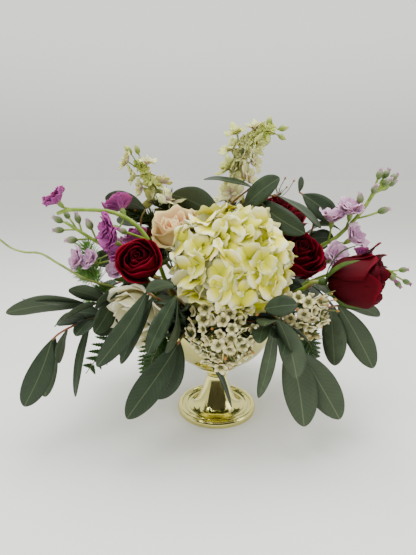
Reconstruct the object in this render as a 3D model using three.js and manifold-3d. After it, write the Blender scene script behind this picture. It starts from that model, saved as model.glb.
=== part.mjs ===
// A flower arrangement in a footed metal bowl: a table centrepiece, in millimetres, +Z up.
// The origin is the centre of the foot's flat underside. The front faces -Y and the right side is +X.
// Every stem stands in its own plain hole in a block of wet foam that fills the bowl.
import * as THREE from "three";
import { mergeVertices } from "three/addons/utils/BufferGeometryUtils.js";
import Module from "manifold-3d";

const wasm = await Module();
wasm.setup();

// Driving sizes of the holder
const FOOT_RADIUS = 50;
const NECK_BOTTOM = 47.5;
const NECK_TOP = 59;
const RIM_RADIUS = 75;
const RIM_HEIGHT = 130;
const WALL = 1.6;
const STUD_RADIUS = 4;
const FOAM_CROWN = 145;
const FOAM_FALL = 10;
const FOAM_RADIUS = 69;
const ROUND_SEGMENTS = 20;

// Clearance between neighbours, and the thickness of what is thin
const GAP = 0.35;
const LEAF_THICK = 1.3;
const PETAL_THICK = 1.5;
const LEAFLET_THICK = 1.3;
const STEM_DEPTH = 20;

const COLOURS = {
  gold: 0xd8c06a,
  steel: 0xb9b4a4,
  foam: 0x2f4a2b,
  eucalyptus: 0x4b5d48,
  fern: 0x3c5a22,
  stem: 0x6d8430,
  cream: 0xf0edc4,
  ivory: 0xe6e0c4,
  red: 0x8e0a1e,
  blush: 0xeec4a8,
  magenta: 0x9c3a86,
  lavender: 0xc9a9c2,
  larkspur: 0xdcd8b4,
  wax: 0xe9e4cc,
};

const GOLDEN_ANGLE = Math.PI * (3 - Math.sqrt(5));
const UP = new THREE.Vector3(0, 0, 1);

const vec = (p) => new THREE.Vector3(p[0], p[1], p[2]);
const mix = (a, b, t) => a + (b - a) * t;

// A repeatable stream of numbers from 0 to 1.
function draws(seed) {
  let state = seed >>> 0;
  return () => {
    state = (Math.imul(state, 1664525) + 1013904223) >>> 0;
    return state / 4294967296;
  };
}

// Closed solids

function signedVolume(points, faces) {
  let sum = 0;
  for (const [a, b, c] of faces) sum += points[a].dot(points[b].clone().cross(points[c]));
  return sum / 6;
}

function solidOfPoints(points, faces) {
  const turned = signedVolume(points, faces) < 0;
  const order = turned ? faces.map(([a, b, c]) => [a, c, b]) : faces;
  const triVerts = new Uint32Array(order.flat());
  const vertProperties = new Float32Array(points.flatMap((p) => [p.x, p.y, p.z]));
  return new wasm.Manifold(new wasm.Mesh({ numProp: 3, vertProperties, triVerts }));
}

function solidOfGeometry(geometry) {
  const bare = geometry.clone();
  bare.deleteAttribute("normal");
  bare.deleteAttribute("uv");
  const merged = mergeVertices(bare, 1e-4);
  const place = merged.attributes.position;
  const index = merged.index.array;
  const points = [];
  for (let i = 0; i < place.count; i++) points.push(new THREE.Vector3().fromBufferAttribute(place, i));
  const faces = [];
  for (let i = 0; i < index.length; i += 3) {
    const face = [index[i], index[i + 1], index[i + 2]];
    if (new Set(face).size === 3) faces.push(face);
  }
  return solidOfPoints(points, faces);
}

const joined = (solids) => solids.reduce((sum, one) => sum.add(one));

function lathe(profile, segments) {
  const outline = profile.map(([r, z]) => new THREE.Vector2(r, z));
  return solidOfGeometry(new THREE.LatheGeometry(outline, segments).rotateX(Math.PI / 2));
}

const curveThrough = (points) => new THREE.CatmullRomCurve3(points.map(vec), false, "catmullrom", 0.5);

// The nearest point to a place on the straight pieces of a rod through the points
function ontoRod(points, steps, place) {
  const spine = curveThrough(points).getSpacedPoints(steps);
  const nearest = new THREE.Vector3();
  let least = Infinity;
  for (let k = 0; k < steps; k++) {
    const piece = new THREE.Line3(spine[k], spine[k + 1]);
    const on = piece.closestPointToPoint(place, true, new THREE.Vector3());
    if (on.distanceTo(place) < least) {
      least = on.distanceTo(place);
      nearest.copy(on);
    }
  }
  return nearest;
}

// A rod along a smooth curve through the points. Grown, it is also longer at its root.
function rod(points, radius, { sides = 4, steps = points.length - 1, grow = 0 } = {}) {
  const section = new THREE.Shape();
  for (let k = 0; k < sides; k++) {
    const turn = (2 * Math.PI * k) / sides;
    const x = (radius + grow) * Math.cos(turn);
    const y = (radius + grow) * Math.sin(turn);
    if (k) section.lineTo(x, y);
    else section.moveTo(x, y);
  }
  section.closePath();
  const extrudePath = curveThrough(points);
  const geometry = new THREE.ExtrudeGeometry(section, { steps, extrudePath, curveSegments: 1 });
  const root = vec(points[0]);
  const back = extrudePath.getTangent(0).multiplyScalar(-grow);
  const place = geometry.attributes.position;
  const corner = new THREE.Vector3();
  for (let i = 0; i < place.count; i++) {
    corner.fromBufferAttribute(place, i);
    if (corner.distanceTo(root) > radius + grow + 0.1) continue;
    corner.add(back);
    place.setXYZ(i, corner.x, corner.y, corner.z);
  }
  return solidOfGeometry(geometry);
}

// A thin straight stalk with three sides
const stalk = (from, to, grow) => rod([from.toArray(), to.toArray()], 1, { sides: 3, steps: 1, grow });

// A thin blade: rows of points along its length, the first row its root and one point wide. It is
// thickest along its middle, sharp at its rim and blunt at its root. Grown, its rim is blunt too.
function blade(rows, thickness, grow = 0) {
  const wide = rows.map((row) => row.map((p) => p.clone()));
  const end = wide.length - 1;
  const columns = Math.max(...wide.map((row) => row.length));
  const at = (i, j) => wide[i][Math.min(j, wide[i].length - 1)];
  const normals = wide.map((row, i) =>
    row.map((_, j) => {
      const full = row.length > 1 ? i : i || 1;
      const beside = wide[full].length > 1 ? full : full - 1;
      const across = at(beside, columns - 1).clone().sub(at(beside, 0));
      const along = at(Math.min(i + 1, end), j).clone().sub(at(Math.max(i - 1, 0), j));
      return across.cross(along).normalize();
    }),
  );
  if (grow) {
    const push = (p, from) => p.add(p.clone().sub(from).setLength(grow));
    const middles = wide.map((row) => row[row.length >> 1].clone());
    wide.forEach((row, i) => {
      if (row.length === 1) push(row[0], middles[i === 0 ? 1 : i - 1]);
      else [0, row.length - 1].forEach((j) => push(row[j], middles[i]));
    });
    if (wide[end].length > 1) wide[end].forEach((p) => push(p, middles[end - 1]));
  }
  const points = [];
  const number = wide.map((row, i) =>
    row.map((p, j) => {
      const rim = i > 0 && (i === end || j === 0 || j === row.length - 1);
      const half = grow + (rim ? 0 : thickness / 2);
      points.push(p.clone().addScaledVector(normals[i][j], half));
      if (half) points.push(p.clone().addScaledVector(normals[i][j], -half));
      return [points.length - (half ? 2 : 1), points.length - 1];
    }),
  );
  const id = ([i, j], side) => number[i][Math.min(j, wide[i].length - 1)][side];
  const faces = [];
  const add = (a, b, c) => {
    if (a !== b && b !== c && a !== c) faces.push([a, b, c]);
  };
  for (let i = 0; i < end; i++) {
    for (let j = 0; j < columns - 1; j++) {
      const corners = [[i, j], [i, j + 1], [i + 1, j + 1], [i + 1, j]];
      const [a, b, c, d] = corners.map((corner) => id(corner, 0));
      add(a, b, c);
      add(a, c, d);
      const [e, f, g, h] = corners.map((corner) => id(corner, 1));
      add(e, g, f);
      add(e, h, g);
    }
  }
  const rim = wide.slice(0, end).map((_, i) => [i, columns - 1]);
  for (let j = wide[end].length - 1; j >= 0; j--) rim.push([end, j]);
  for (let i = end - 1; i > 0; i--) rim.push([i, 0]);
  rim.forEach((corner, k) => {
    const next = rim[(k + 1) % rim.length];
    add(id(corner, 0), id(next, 1), id(next, 0));
    add(id(corner, 0), id(corner, 1), id(next, 1));
  });
  return solidOfPoints(points, faces);
}

// Leaves and stems

// Half the width of a leaf at a share u of its length, as a share of its greatest half width.
function leafOutline(u, belly, point) {
  const widest = belly / (belly + point);
  const top = Math.pow(widest, belly) * Math.pow(1 - widest, point);
  return (Math.pow(u, belly) * Math.pow(1 - u, point)) / top;
}

// Rows of a leaf from its base to its tip. roll turns it about its own length, in degrees, from
// lying face up; arch lifts its middle, and fold lifts its edges, as shares of length and width.
function leafRows(base, tip, width, options) {
  const { roll = 0, arch = 0.08, fold = 0.12, rows = 3, belly = 0.75, point = 0.55 } = options;
  const along = tip.clone().sub(base);
  const length = along.length();
  along.normalize();
  const side = Math.abs(along.z) > 0.98 ? new THREE.Vector3(1, 0, 0) : along.clone().cross(UP).normalize();
  side.applyAxisAngle(along, (roll * Math.PI) / 180);
  const face = side.clone().cross(along).normalize();
  const made = [[base.clone()]];
  for (let k = 0; k < rows; k++) {
    const u = rows > 1 ? mix(0.16, 0.86, k / (rows - 1)) : belly / (belly + point);
    const middle = base.clone().addScaledVector(along, u * length);
    middle.addScaledVector(face, arch * length * 4 * u * (1 - u));
    const half = (width / 2) * leafOutline(u, belly, point);
    const left = middle.clone().addScaledVector(side, -half).addScaledVector(face, fold * half);
    const right = middle.clone().addScaledVector(side, half).addScaledVector(face, fold * half);
    made.push([left, middle, right]);
  }
  made.push([tip.clone()]);
  return made;
}

const NARROW_LEAF = 21;

// A leafy stem. Each leaf is [share of the stem, [tip x, y, z], width, roll, arch].
function leafyStem(points, radius, leaves) {
  const curve = curveThrough(points);
  return (grow) => {
    const made = [rod(points, radius, { sides: 3, grow })];
    for (const [t, tipAt, width, roll = 0, arch = 0.08] of leaves) {
      const root = ontoRod(points, points.length - 1, curve.getPoint(t));
      const rows = width < NARROW_LEAF ? 2 : 3;
      const grid = leafRows(root, vec(tipAt), width, { roll, arch, rows, belly: 1 });
      made.push(blade(grid, LEAF_THICK, grow));
    }
    return joined(made);
  };
}

// The foam's top, and the two points where a stem stands in it
const foamTop = (x, y) => FOAM_CROWN - (FOAM_FALL * (x * x + y * y)) / (FOAM_RADIUS * FOAM_RADIUS);

function planted(x, y, ...onward) {
  const top = foamTop(x, y);
  return [[0.78 * x, 0.78 * y, top - STEM_DEPTH], [x, y, top], ...onward];
}

// Blooms. Each is made round its own axis, which points out of its face, and is then turned.

function placed(solidAt, centre, axis, spin = 0) {
  const turn = new THREE.Quaternion().setFromUnitVectors(UP, vec(axis).normalize());
  turn.multiply(new THREE.Quaternion().setFromAxisAngle(UP, spin));
  const matrix = new THREE.Matrix4().compose(vec(centre), turn, new THREE.Vector3(1, 1, 1));
  return solidAt.transform(matrix.elements);
}

// Layers of a rose from the outside in: petals, radius, height, flare and half angle of a petal
const ROSE_LAYERS = [
  { petals: 5, reach: 1.0, top: 0.84, flare: 0.2, spread: 0.72 },
  { petals: 3, reach: 0.72, top: 0.97, flare: 0.06, spread: 1.1 },
  { petals: 2, reach: 0.44, top: 1.02, flare: -0.02, spread: 1.4 },
];
const PETAL_FOOT = 0.32;
const ROSE_ROWS = [
  { up: 0.58, out: 0.98, wide: 1.0 },
  { up: 1.0, out: 1.0, wide: 0.66 },
];

function rosePetal(radius, height, layer, turn, grow) {
  const near = PETAL_FOOT * layer.reach * radius;
  const foot = new THREE.Vector3(near * Math.cos(turn), near * Math.sin(turn), 2);
  const rows = ROSE_ROWS.map((row, i) => {
    const flare = i === ROSE_ROWS.length - 1 ? layer.flare * radius : 0;
    return [-1, 0, 1].map((v) => {
      const r = layer.reach * row.out * radius + flare + v * 1.4;
      const angle = turn + v * layer.spread * row.wide;
      return new THREE.Vector3(r * Math.cos(angle), r * Math.sin(angle), layer.top * height * row.up);
    });
  });
  return blade([[foot], ...rows], PETAL_THICK, grow);
}

function roseBloom({ base, axis, radius, height, spin = 0 }) {
  return (grow) => {
    const heart = [
      [0, 0.4 - grow],
      [(PETAL_FOOT + 0.06) * radius, 0.4 - grow],
      [0.42 * radius + grow, 0.3 * height],
      [0.14 * radius + grow, 0.94 * height],
      [0, 0.9 * height + grow],
    ];
    const made = [lathe(heart, 6)];
    ROSE_LAYERS.forEach((layer, i) => {
      for (let k = 0; k < layer.petals; k++) {
        const turn = (2 * Math.PI * k) / layer.petals + i * 0.7;
        made.push(rosePetal(radius, height, layer, turn, grow));
      }
    });
    return placed(joined(made), base, axis, spin);
  };
}

const HIP_LENGTH = 10;
const SEPALS = { lobes: 5, radius: 21, notch: 0.34, cup: -5 };

// A rose's stem with its hip and five sepals under the bloom.
function roseStem({ base, axis, stem, spin = 0 }) {
  return (grow) => {
    const calyx = openFlower({ ...SEPALS, depth: HIP_LENGTH, grow });
    const out = vec(axis).normalize();
    const neck = vec(base).addScaledVector(out, -4);
    const lower = vec(base).addScaledVector(out, -HIP_LENGTH - 6);
    const path = [...stem, lower.toArray(), neck.toArray()];
    return placed(calyx, base, axis, spin).add(rod(path, 2.2, { steps: 4, grow }));
  };
}

const STALK_RADIUS = 1;

// A flower or bud that faces up: a ring of rim points [turn, radius, height] round a top, closed
// below by a cone. The cone runs down to its root, or to a three-sided stalk that does.
function flowerHead({ rim, top, depth, far = depth, grow }) {
  const inner = rim.reduce((a, b) => (a[1] < b[1] ? a : b));
  const steep = Math.hypot(1, (inner[2] + depth) / inner[1]);
  const swell = 1 + (grow * (1 + steep)) / (depth + top);
  const points = [new THREE.Vector3(0, 0, top + grow)];
  for (const [turn, radius, z] of rim) {
    const r = radius * swell;
    points.push(new THREE.Vector3(r * Math.cos(turn), r * Math.sin(turn), z * swell + grow));
  }
  const sides = rim.length;
  const stalked = far > depth;
  const below = stalked ? [-depth, -far - grow] : [-depth - grow * steep];
  for (const z of below) {
    if (!stalked) points.push(new THREE.Vector3(0, 0, z));
    else {
      for (let a = 0; a < 3; a++) {
        const turn = rim[0][0] + (2 * Math.PI * (a + 0.5)) / 3;
        const r = STALK_RADIUS + grow;
        points.push(new THREE.Vector3(r * Math.cos(turn), r * Math.sin(turn), z));
      }
    }
  }
  const neck = (k) => sides + 1 + (stalked ? Math.floor((k * 3) / sides) % 3 : 0);
  const faces = [];
  for (let k = 0; k < sides; k++) {
    const a = 1 + k;
    const b = 1 + ((k + 1) % sides);
    faces.push([0, a, b], [neck(k), b, a]);
    if (neck(k) !== neck((k + 1) % sides)) faces.push([neck(k), neck((k + 1) % sides), b]);
  }
  if (stalked) {
    const n = sides + 1;
    for (let a = 0; a < 3; a++) {
      const next = (a + 1) % 3;
      faces.push([n + a, n + 3 + a, n + 3 + next], [n + a, n + 3 + next, n + next]);
    }
    faces.push([n + 3, n + 5, n + 4]);
  }
  return solidOfPoints(points, faces);
}

// The rim of an open flower with pointed lobes
function lobedRim(lobes, radius, notch, cup) {
  const rim = [];
  for (let k = 0; k < 2 * lobes; k++) {
    const share = k % 2 ? notch : 1;
    rim.push([(Math.PI * k) / lobes, radius * share, cup * share]);
  }
  return rim;
}

const openFlower = ({ lobes, radius, notch, cup, ...rest }) =>
  flowerHead({ rim: lobedRim(lobes, radius, notch, cup), top: 0, ...rest });

const FLORET_RADIUS = 15.5;
const FLORET_ROOT = 0.26;
const CORE_SHARE = 0.88;

// A hydrangea's head: four-petalled florets all over a dome, on a smaller core.
function hydrangeaHead({ centre, axis, across, deep, florets, seed }) {
  return (grow) => {
    const core = new THREE.SphereGeometry(1, 9, 5).rotateX(Math.PI / 2);
    core.scale(across * CORE_SHARE + grow, across * CORE_SHARE + grow, deep * CORE_SHARE + grow);
    let head = solidOfGeometry(core);
    const draw = draws(seed);
    for (let k = 0; k < florets; k++) {
      const polar = Math.acos(1 - ((k + 0.5) / florets) * 1.36);
      const turn = k * GOLDEN_ANGLE;
      const out = new THREE.Vector3(
        Math.sin(polar) * Math.cos(turn),
        Math.sin(polar) * Math.sin(turn),
        Math.cos(polar),
      );
      const lift = k % 2 ? 1.03 : 0.97;
      const spot = [out.x * across * lift, out.y * across * lift, out.z * deep * lift];
      const face = new THREE.Vector3(out.x / across, out.y / across, out.z / deep).normalize();
      face.add(new THREE.Vector3(draw() - 0.5, draw() - 0.5, draw() - 0.5).multiplyScalar(0.3));
      const radius = FLORET_RADIUS * (0.9 + 0.2 * draw());
      const depth = across * FLORET_ROOT;
      const floret = openFlower({ lobes: 4, radius, notch: 0.55, cup: 2 - 2 * draw(), depth, grow });
      head = head.add(placed(floret, spot, face.toArray(), draw() * 6));
    }
    return placed(head, centre, axis);
  };
}

// What stands on a spray's stem, by name. Each runs back to its root, which is far behind it.
const HEADS = {
  stock: (radius, far, grow) => {
    const depth = Math.min(far, LONGEST_TUBE);
    return openFlower({ lobes: 5, radius, notch: 0.7, cup: 1, depth, far, grow });
  },
  star: (radius, far, grow) => {
    const depth = Math.min(far, LONGEST_TUBE);
    return openFlower({ lobes: 5, radius, notch: 0.42, cup: 3.5, depth, far, grow });
  },
  wax: (radius, far, grow) => {
    const depth = radius * 0.8;
    return openFlower({ lobes: 5, radius, notch: 0.66, cup: 2.6, depth, far, grow });
  },
  bud: (radius, far, grow) => {
    const depth = radius * 0.6;
    const rim = [0, 1, 2, 3, 4].map((k) => [(2 * Math.PI * k) / 5, radius * 0.42, radius * 0.1]);
    return flowerHead({ rim, top: radius * 0.65, depth, far: Math.max(far, depth), grow });
  },
};
const LONGEST_TUBE = 26;
const SLANT = 0.4;

// A flowering spray. Each head is [kind, [centre x, y, z], size]. It grows from the stem at a slant.
function spray(points, radius, heads) {
  const steps = points.length;
  const spine = curveThrough(points).getSpacedPoints(steps);
  return (grow) => {
    const made = [rod(points, radius, { sides: 3, steps, grow })];
    heads.forEach(([kind, centreAt, size], k) => {
      const centre = vec(centreAt);
      const beside = ontoRod(points, steps, centre);
      const slant = spine[0].clone().sub(beside).setLength(beside.distanceTo(centre) * SLANT);
      const facing = centre.clone().sub(ontoRod(points, steps, beside.clone().add(slant)));
      made.push(placed(HEADS[kind](size, facing.length(), grow), centreAt, facing.toArray(), k));
    });
    return joined(made);
  };
}

// A frond: leaflets in pairs along its rib, longest near the middle.
function frond(points, radius, { pairs, reach, width, from = 0.34 }) {
  const curve = curveThrough(points);
  return (grow) => {
    const made = [rod(points, radius, { sides: 3, grow })];
    for (let k = 0; k < pairs; k++) {
      const share = (k + 0.5) / pairs;
      const t = mix(from, 0.97, share);
      const root = ontoRod(points, points.length - 1, curve.getPoint(t));
      const heading = curve.getTangent(t);
      const side = heading.clone().cross(UP).normalize();
      const length = reach * Math.sin(Math.PI * mix(0.25, 0.9, share));
      for (const hand of [-1, 1]) {
        const tip = root.clone().addScaledVector(side, hand * length);
        tip.addScaledVector(heading, length * 0.6);
        tip.z -= length * 0.15;
        const rows = leafRows(root, tip, width, { rows: 1, fold: 0, arch: 0.04, belly: 0.5, point: 0.8 });
        made.push(blade(rows, LEAFLET_THICK, grow));
      }
    }
    return joined(made);
  };
}

// A three-sided needle, with its root inside the stem that carries it.
function needle(root, tip, thick, grow) {
  const along = tip.clone().sub(root).normalize();
  const side = along.clone().cross(UP).normalize().multiplyScalar(thick + grow);
  const other = side.clone().applyAxisAngle(along, (2 * Math.PI) / 3);
  const third = side.clone().applyAxisAngle(along, (4 * Math.PI) / 3);
  const start = root.clone().addScaledVector(along, -0.4);
  const points = [start.clone().add(side), start.clone().add(other), start.clone().add(third)];
  points.push(tip.clone().addScaledVector(along, grow));
  return solidOfPoints(points, [
    [0, 1, 3],
    [1, 2, 3],
    [2, 0, 3],
    [0, 2, 1],
  ]);
}

// A feathery shoot: needles all round several short branches, and a long bare runner.
function featherShoot(points, radius, { branches, needles, length, seed }) {
  const curve = curveThrough(points);
  return (grow) => {
    const draw = draws(seed);
    const made = [rod(points, radius, { sides: 3, grow })];
    for (const [t, tipAt] of branches) {
      const root = ontoRod(points, points.length - 1, curve.getPoint(t));
      const tip = vec(tipAt);
      made.push(stalk(root, tip, grow));
      for (let k = 0; k < needles; k++) {
        const at = root.clone().lerp(tip, mix(0.15, 0.97, k / (needles - 1)));
        const turn = k * GOLDEN_ANGLE;
        const heading = tip.clone().sub(root).normalize();
        const side = heading.clone().cross(UP).normalize().applyAxisAngle(heading, turn);
        const end = at.clone().addScaledVector(side, length * (0.7 + 0.3 * draw()));
        end.addScaledVector(heading, length * 0.6);
        made.push(needle(at, end, 0.55, grow));
      }
    }
    return joined(made);
  };
}

// The holder

const foot = () => () =>
  lathe(
    [
      [0, 0],
      [FOOT_RADIUS, 0],
      [FOOT_RADIUS, 4.5],
      [FOOT_RADIUS - 3, 8],
      [FOOT_RADIUS - 8, 7.6],
      [FOOT_RADIUS - 10, 6],
      [35, 5.4],
      [28, 8.6],
      [21.5, 16],
      [15.6, 30],
      [12.2, 43],
      [12, NECK_BOTTOM - GAP],
      [STUD_RADIUS, NECK_BOTTOM - GAP],
      [STUD_RADIUS, NECK_TOP + WALL + 5],
      [0, NECK_TOP + WALL + 5],
    ],
    ROUND_SEGMENTS,
  );

const collar = () => () =>
  lathe(
    [
      [STUD_RADIUS + GAP, NECK_BOTTOM],
      [12.4, NECK_BOTTOM],
      [13, NECK_BOTTOM + 1.6],
      [12.2, NECK_BOTTOM + 3.4],
      [12.6, NECK_TOP - GAP],
      [STUD_RADIUS + GAP, NECK_TOP - GAP],
      [STUD_RADIUS + GAP, NECK_BOTTOM],
    ],
    ROUND_SEGMENTS / 2,
  );

const FLOOR_LIFT = 0.8 * WALL;
const BOWL_OUTLINE = [
  [14, NECK_TOP],
  [28, 65],
  [42, 73],
  [55, 84],
  [66, 99],
  [72.5, 114],
  [RIM_RADIUS, RIM_HEIGHT - 2],
];

const bowl = () => () =>
  lathe(
    [
      [STUD_RADIUS + GAP, NECK_TOP],
      ...BOWL_OUTLINE,
      [RIM_RADIUS + 1.4, RIM_HEIGHT - 0.6],
      [RIM_RADIUS, RIM_HEIGHT],
      ...BOWL_OUTLINE.map(([r, z]) => [r - WALL, z + FLOOR_LIFT]).reverse(),
      [STUD_RADIUS + GAP, NECK_TOP + FLOOR_LIFT],
      [STUD_RADIUS + GAP, NECK_TOP],
    ],
    ROUND_SEGMENTS,
  );

const NUT_HOLE = STUD_RADIUS + 1;

const nut = () => () =>
  lathe(
    [
      [NUT_HOLE, NECK_TOP + WALL + 0.1],
      [7.5, NECK_TOP + WALL + 0.1],
      [7.5, NECK_TOP + WALL + 4],
      [NUT_HOLE, NECK_TOP + WALL + 4],
      [NUT_HOLE, NECK_TOP + WALL + 0.1],
    ],
    6,
  );

// The block's lower edge rests on the inside of the bowl.
const foamBlock = () => () =>
  lathe(
    [
      [0, 66.4],
      [25.4, 66.4],
      [49, 83],
      [61.5, 99],
      [68.5, 117],
      [FOAM_RADIUS, foamTop(FOAM_RADIUS, 0)],
      [40, foamTop(40, 0)],
      [0, FOAM_CROWN],
    ],
    ROUND_SEGMENTS,
  );

// Where everything stands. Positions are in millimetres in the row's own frame.

const ROSES = {
  rose_left: {
    colour: "red",
    base: [-79, -66, 199],
    axis: [-0.02, -0.84, 0.54],
    radius: 20,
    height: 36,
    stem: planted(-34, -30, [-56, -46, 176]),
  },
  rose_blush: {
    colour: "blush",
    base: [-42, 2, 210],
    axis: [-0.22, -0.4, 0.89],
    radius: 26,
    height: 48,
    spin: 0.6,
    stem: planted(-24, -2, [-34, 4, 178]),
  },
  rose_right: {
    colour: "red",
    base: [84, -16, 188],
    axis: [0.3, -0.66, 0.69],
    radius: 27,
    height: 44,
    spin: 0.9,
    stem: planted(36, -8, [64, -2, 166]),
  },
  rose_far_right: {
    colour: "red",
    base: [111, -78, 188],
    axis: [0.92, -0.28, 0.26],
    radius: 24,
    height: 54,
    stem: planted(48, -26, [72, -52, 164], [92, -70, 180]),
  },
  rose_behind: {
    colour: "red",
    base: [74, 14, 221],
    axis: [0.16, -0.2, 0.97],
    radius: 25,
    height: 42,
    stem: planted(30, 10, [48, 18, 178]),
  },
  rose_ivory: {
    colour: "ivory",
    base: [-74, -56, 158],
    axis: [-0.42, -0.84, -0.32],
    radius: 29,
    height: 40,
    spin: 0.3,
    stem: planted(-46, -32, [-58, -40, 154]),
  },
  rose_back_red: {
    colour: "red",
    base: [-72, 58, 188],
    axis: [-0.5, 0.62, 0.6],
    radius: 26,
    height: 42,
    stem: planted(-34, 32, [-54, 46, 166]),
  },
  rose_back_blush: {
    colour: "blush",
    base: [66, 60, 190],
    axis: [0.45, 0.64, 0.62],
    radius: 27,
    height: 44,
    stem: planted(34, 34, [50, 48, 168]),
  },
};

const HYDRANGEAS = {
  hydrangea_front: {
    centre: [14, -62, 208],
    axis: [0.06, -0.66, 0.75],
    across: 57,
    deep: 39,
    florets: 33,
    seed: 7,
    stem: planted(8, -20, [10, -30, 164]),
  },
  hydrangea_back: {
    centre: [-4, 66, 204],
    axis: [0, 0.66, 0.75],
    across: 42,
    deep: 32,
    florets: 16,
    seed: 19,
    stem: planted(-2, 32, [-3, 40, 166]),
  },
};

const EUCALYPTUS = {
  eucalyptus_left_reach: [
    planted(-60, -18, [-96, -46, 160], [-120, -62, 162], [-136, -70, 160]),
    [
      [1, [-209, -100, 162], 24, 60, 0.05],
      [0.94, [-198, -86, 172], 20, 30, -0.06],
      [0.86, [-162, -102, 148], 24, 40, 0.06],
      [0.74, [-150, -86, 182], 22, 50, 0.05],
      [0.66, [-126, -92, 138], 22, -60, 0.06],
    ],
  ],
  eucalyptus_left_droop: [
    planted(-62, -26, [-104, -42, 138], [-136, -68, 144], [-160, -84, 137], [-172, -86, 128]),
    [
      [1, [-203, -97, 58], 26, -82, 0.04],
      [0.94, [-190, -74, 56], 24, 20, 0.05],
      [0.76, [-168, -82, 100], 18, 15, 0.05],
      [0.7, [-152, -88, 64], 18, 20, 0.05],
    ],
  ],
  eucalyptus_front_left: [
    planted(-30, -48, [-56, -84, 168], [-70, -104, 184]),
    [
      [1, [-112, -136, 122], 28, -70, 0.1],
      [0.86, [-92, -122, 118], 18, -60, 0.08],
      [0.94, [-88, -130, 136], 20, -50, 0.05],
      [0.9, [-36, -118, 194], 17, -40, 0.05],
    ],
  ],
  eucalyptus_front_centre: [
    planted(-20, -50, [-36, -84, 164], [-42, -104, 180]),
    [
      [1, [-68, -130, 132], 20, -55, 0.08],
      [0.94, [-50, -128, 132], 22, -78, 0.08],
    ],
  ],
  eucalyptus_front_low: [
    planted(-24, -56, [-34, -78, 134], [-42, -94, 126]),
    [
      [1, [-90, -126, 62], 28, -55, 0.08],
      [0.92, [-62, -110, 74], 33, -62, 0.08],
      [0.8, [14, -92, 54], 14, 10, 0.04],
    ],
  ],
  eucalyptus_front_right: [
    planted(28, -54, [50, -88, 146], [56, -106, 158]),
    [
      [1, [74, -124, 104], 28, -95, 0.08],
      [0.8, [42, -94, 66], 15, 10, 0.05],
      [0.98, [70, -130, 178], 24, 75, 0.04],
    ],
  ],
  eucalyptus_right_low: [
    planted(42, -50, [58, -72, 136], [72, -88, 126], [84, -94, 118]),
    [
      [0.86, [88, -112, 44], 34, -100, 0.06],
      [1, [124, -108, 50], 34, -105, 0.06],
    ],
  ],
  eucalyptus_right: [
    planted(60, -32, [100, -56, 150], [126, -70, 160]),
    [
      [0.9, [122, -84, 98], 28, -95, 0.06],
      [1, [159, -94, 100], 27, -100, 0.06],
      [0.96, [173, -64, 146], 24, -40, 0.08],
    ],
  ],
  eucalyptus_top_right: [
    planted(20, 0, [28, 8, 200], [36, 0, 244], [42, -24, 268], [62, -38, 272]),
    [
      [1, [116, -48, 230], 26, 80, 0.04],
      [0.9, [90, -66, 242], 26, 75, 0.04],
      [0.74, [62, -48, 292], 26, 80, 0.05],
    ],
  ],
  eucalyptus_top: [
    planted(-2, 6, [2, 16, 200], [8, 6, 250], [38, -10, 280]),
    [
      [1, [-16, -16, 288], 24, -15, 0.05],
      [0.7, [-54, 16, 270], 38, 70, 0.12],
    ],
  ],
  eucalyptus_right_back: [
    planted(54, 12, [98, 24, 196], [116, 18, 230], [108, 8, 262], [94, 2, 274]),
    [
      [0.94, [138, 2, 242], 28, 70, 0.06],
      [0.56, [146, 38, 206], 26, 30, 0.06],
      [1, [84, 12, 298], 22, 60, 0.05],
    ],
  ],
  eucalyptus_left_back: [
    planted(-52, 14, [-88, 16, 192], [-90, 4, 238], [-84, 2, 254]),
    [
      [1, [-128, -6, 268], 24, 55, 0.08],
      [0.5, [-152, -8, 196], 26, 75, 0.06],
      [0.7, [-122, 26, 236], 26, 30, 0.06],
    ],
  ],
};

// Branches round the back, which the front hides: [turn in degrees, reach, height of the end]
const BACK_BRANCHES = [
  [20, 156, 152],
  [70, 142, 144],
  [110, 142, 146],
  [160, 156, 154],
];

function backBranch(turnDegrees, reach, height, seed) {
  const draw = draws(seed);
  const turn = (turnDegrees * Math.PI) / 180;
  const out = (r, z, swing = 0) => [r * Math.cos(turn + swing), r * Math.sin(turn + swing), z];
  const stem = planted(...out(64, 0).slice(0, 2), out(reach * 0.66, height + 6), out(reach * 0.9, height));
  const leaves = [];
  for (let k = 0; k < 5; k++) {
    const hand = k % 2 ? 1 : -1;
    const t = mix(0.62, 1, k / 4);
    const swing = k === 4 ? 0 : hand * (0.24 + 0.06 * draw());
    const far = mix(reach * 0.95, reach * 1.12, k / 4);
    const low = height - mix(74, 24, k / 4) * (0.8 + 0.2 * draw());
    leaves.push([t, out(far, low, swing), 26 + 5 * draw(), hand * 24, 0.1]);
  }
  return [stem, leaves];
}

// Heads that face out over a patch: an even spiral on the front of an ellipsoid.
function patch(kind, centre, reach, count, size, lean, seed) {
  const draw = draws(seed);
  const axis = new THREE.Quaternion().setFromUnitVectors(UP, vec(lean).normalize());
  const heads = [];
  for (let k = 0; k < count; k++) {
    const polar = Math.acos(1 - (k + 0.5) / count);
    const turn = k * GOLDEN_ANGLE;
    const out = new THREE.Vector3(
      Math.sin(polar) * Math.cos(turn),
      Math.sin(polar) * Math.sin(turn),
      Math.cos(polar),
    ).applyQuaternion(axis);
    const near = 0.85 + 0.25 * draw();
    const spot = [0, 1, 2].map((i) => centre[i] + out.getComponent(i) * reach[i] * near);
    heads.push([kind, spot, size * (0.85 + 0.3 * draw())]);
  }
  return heads;
}

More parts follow.
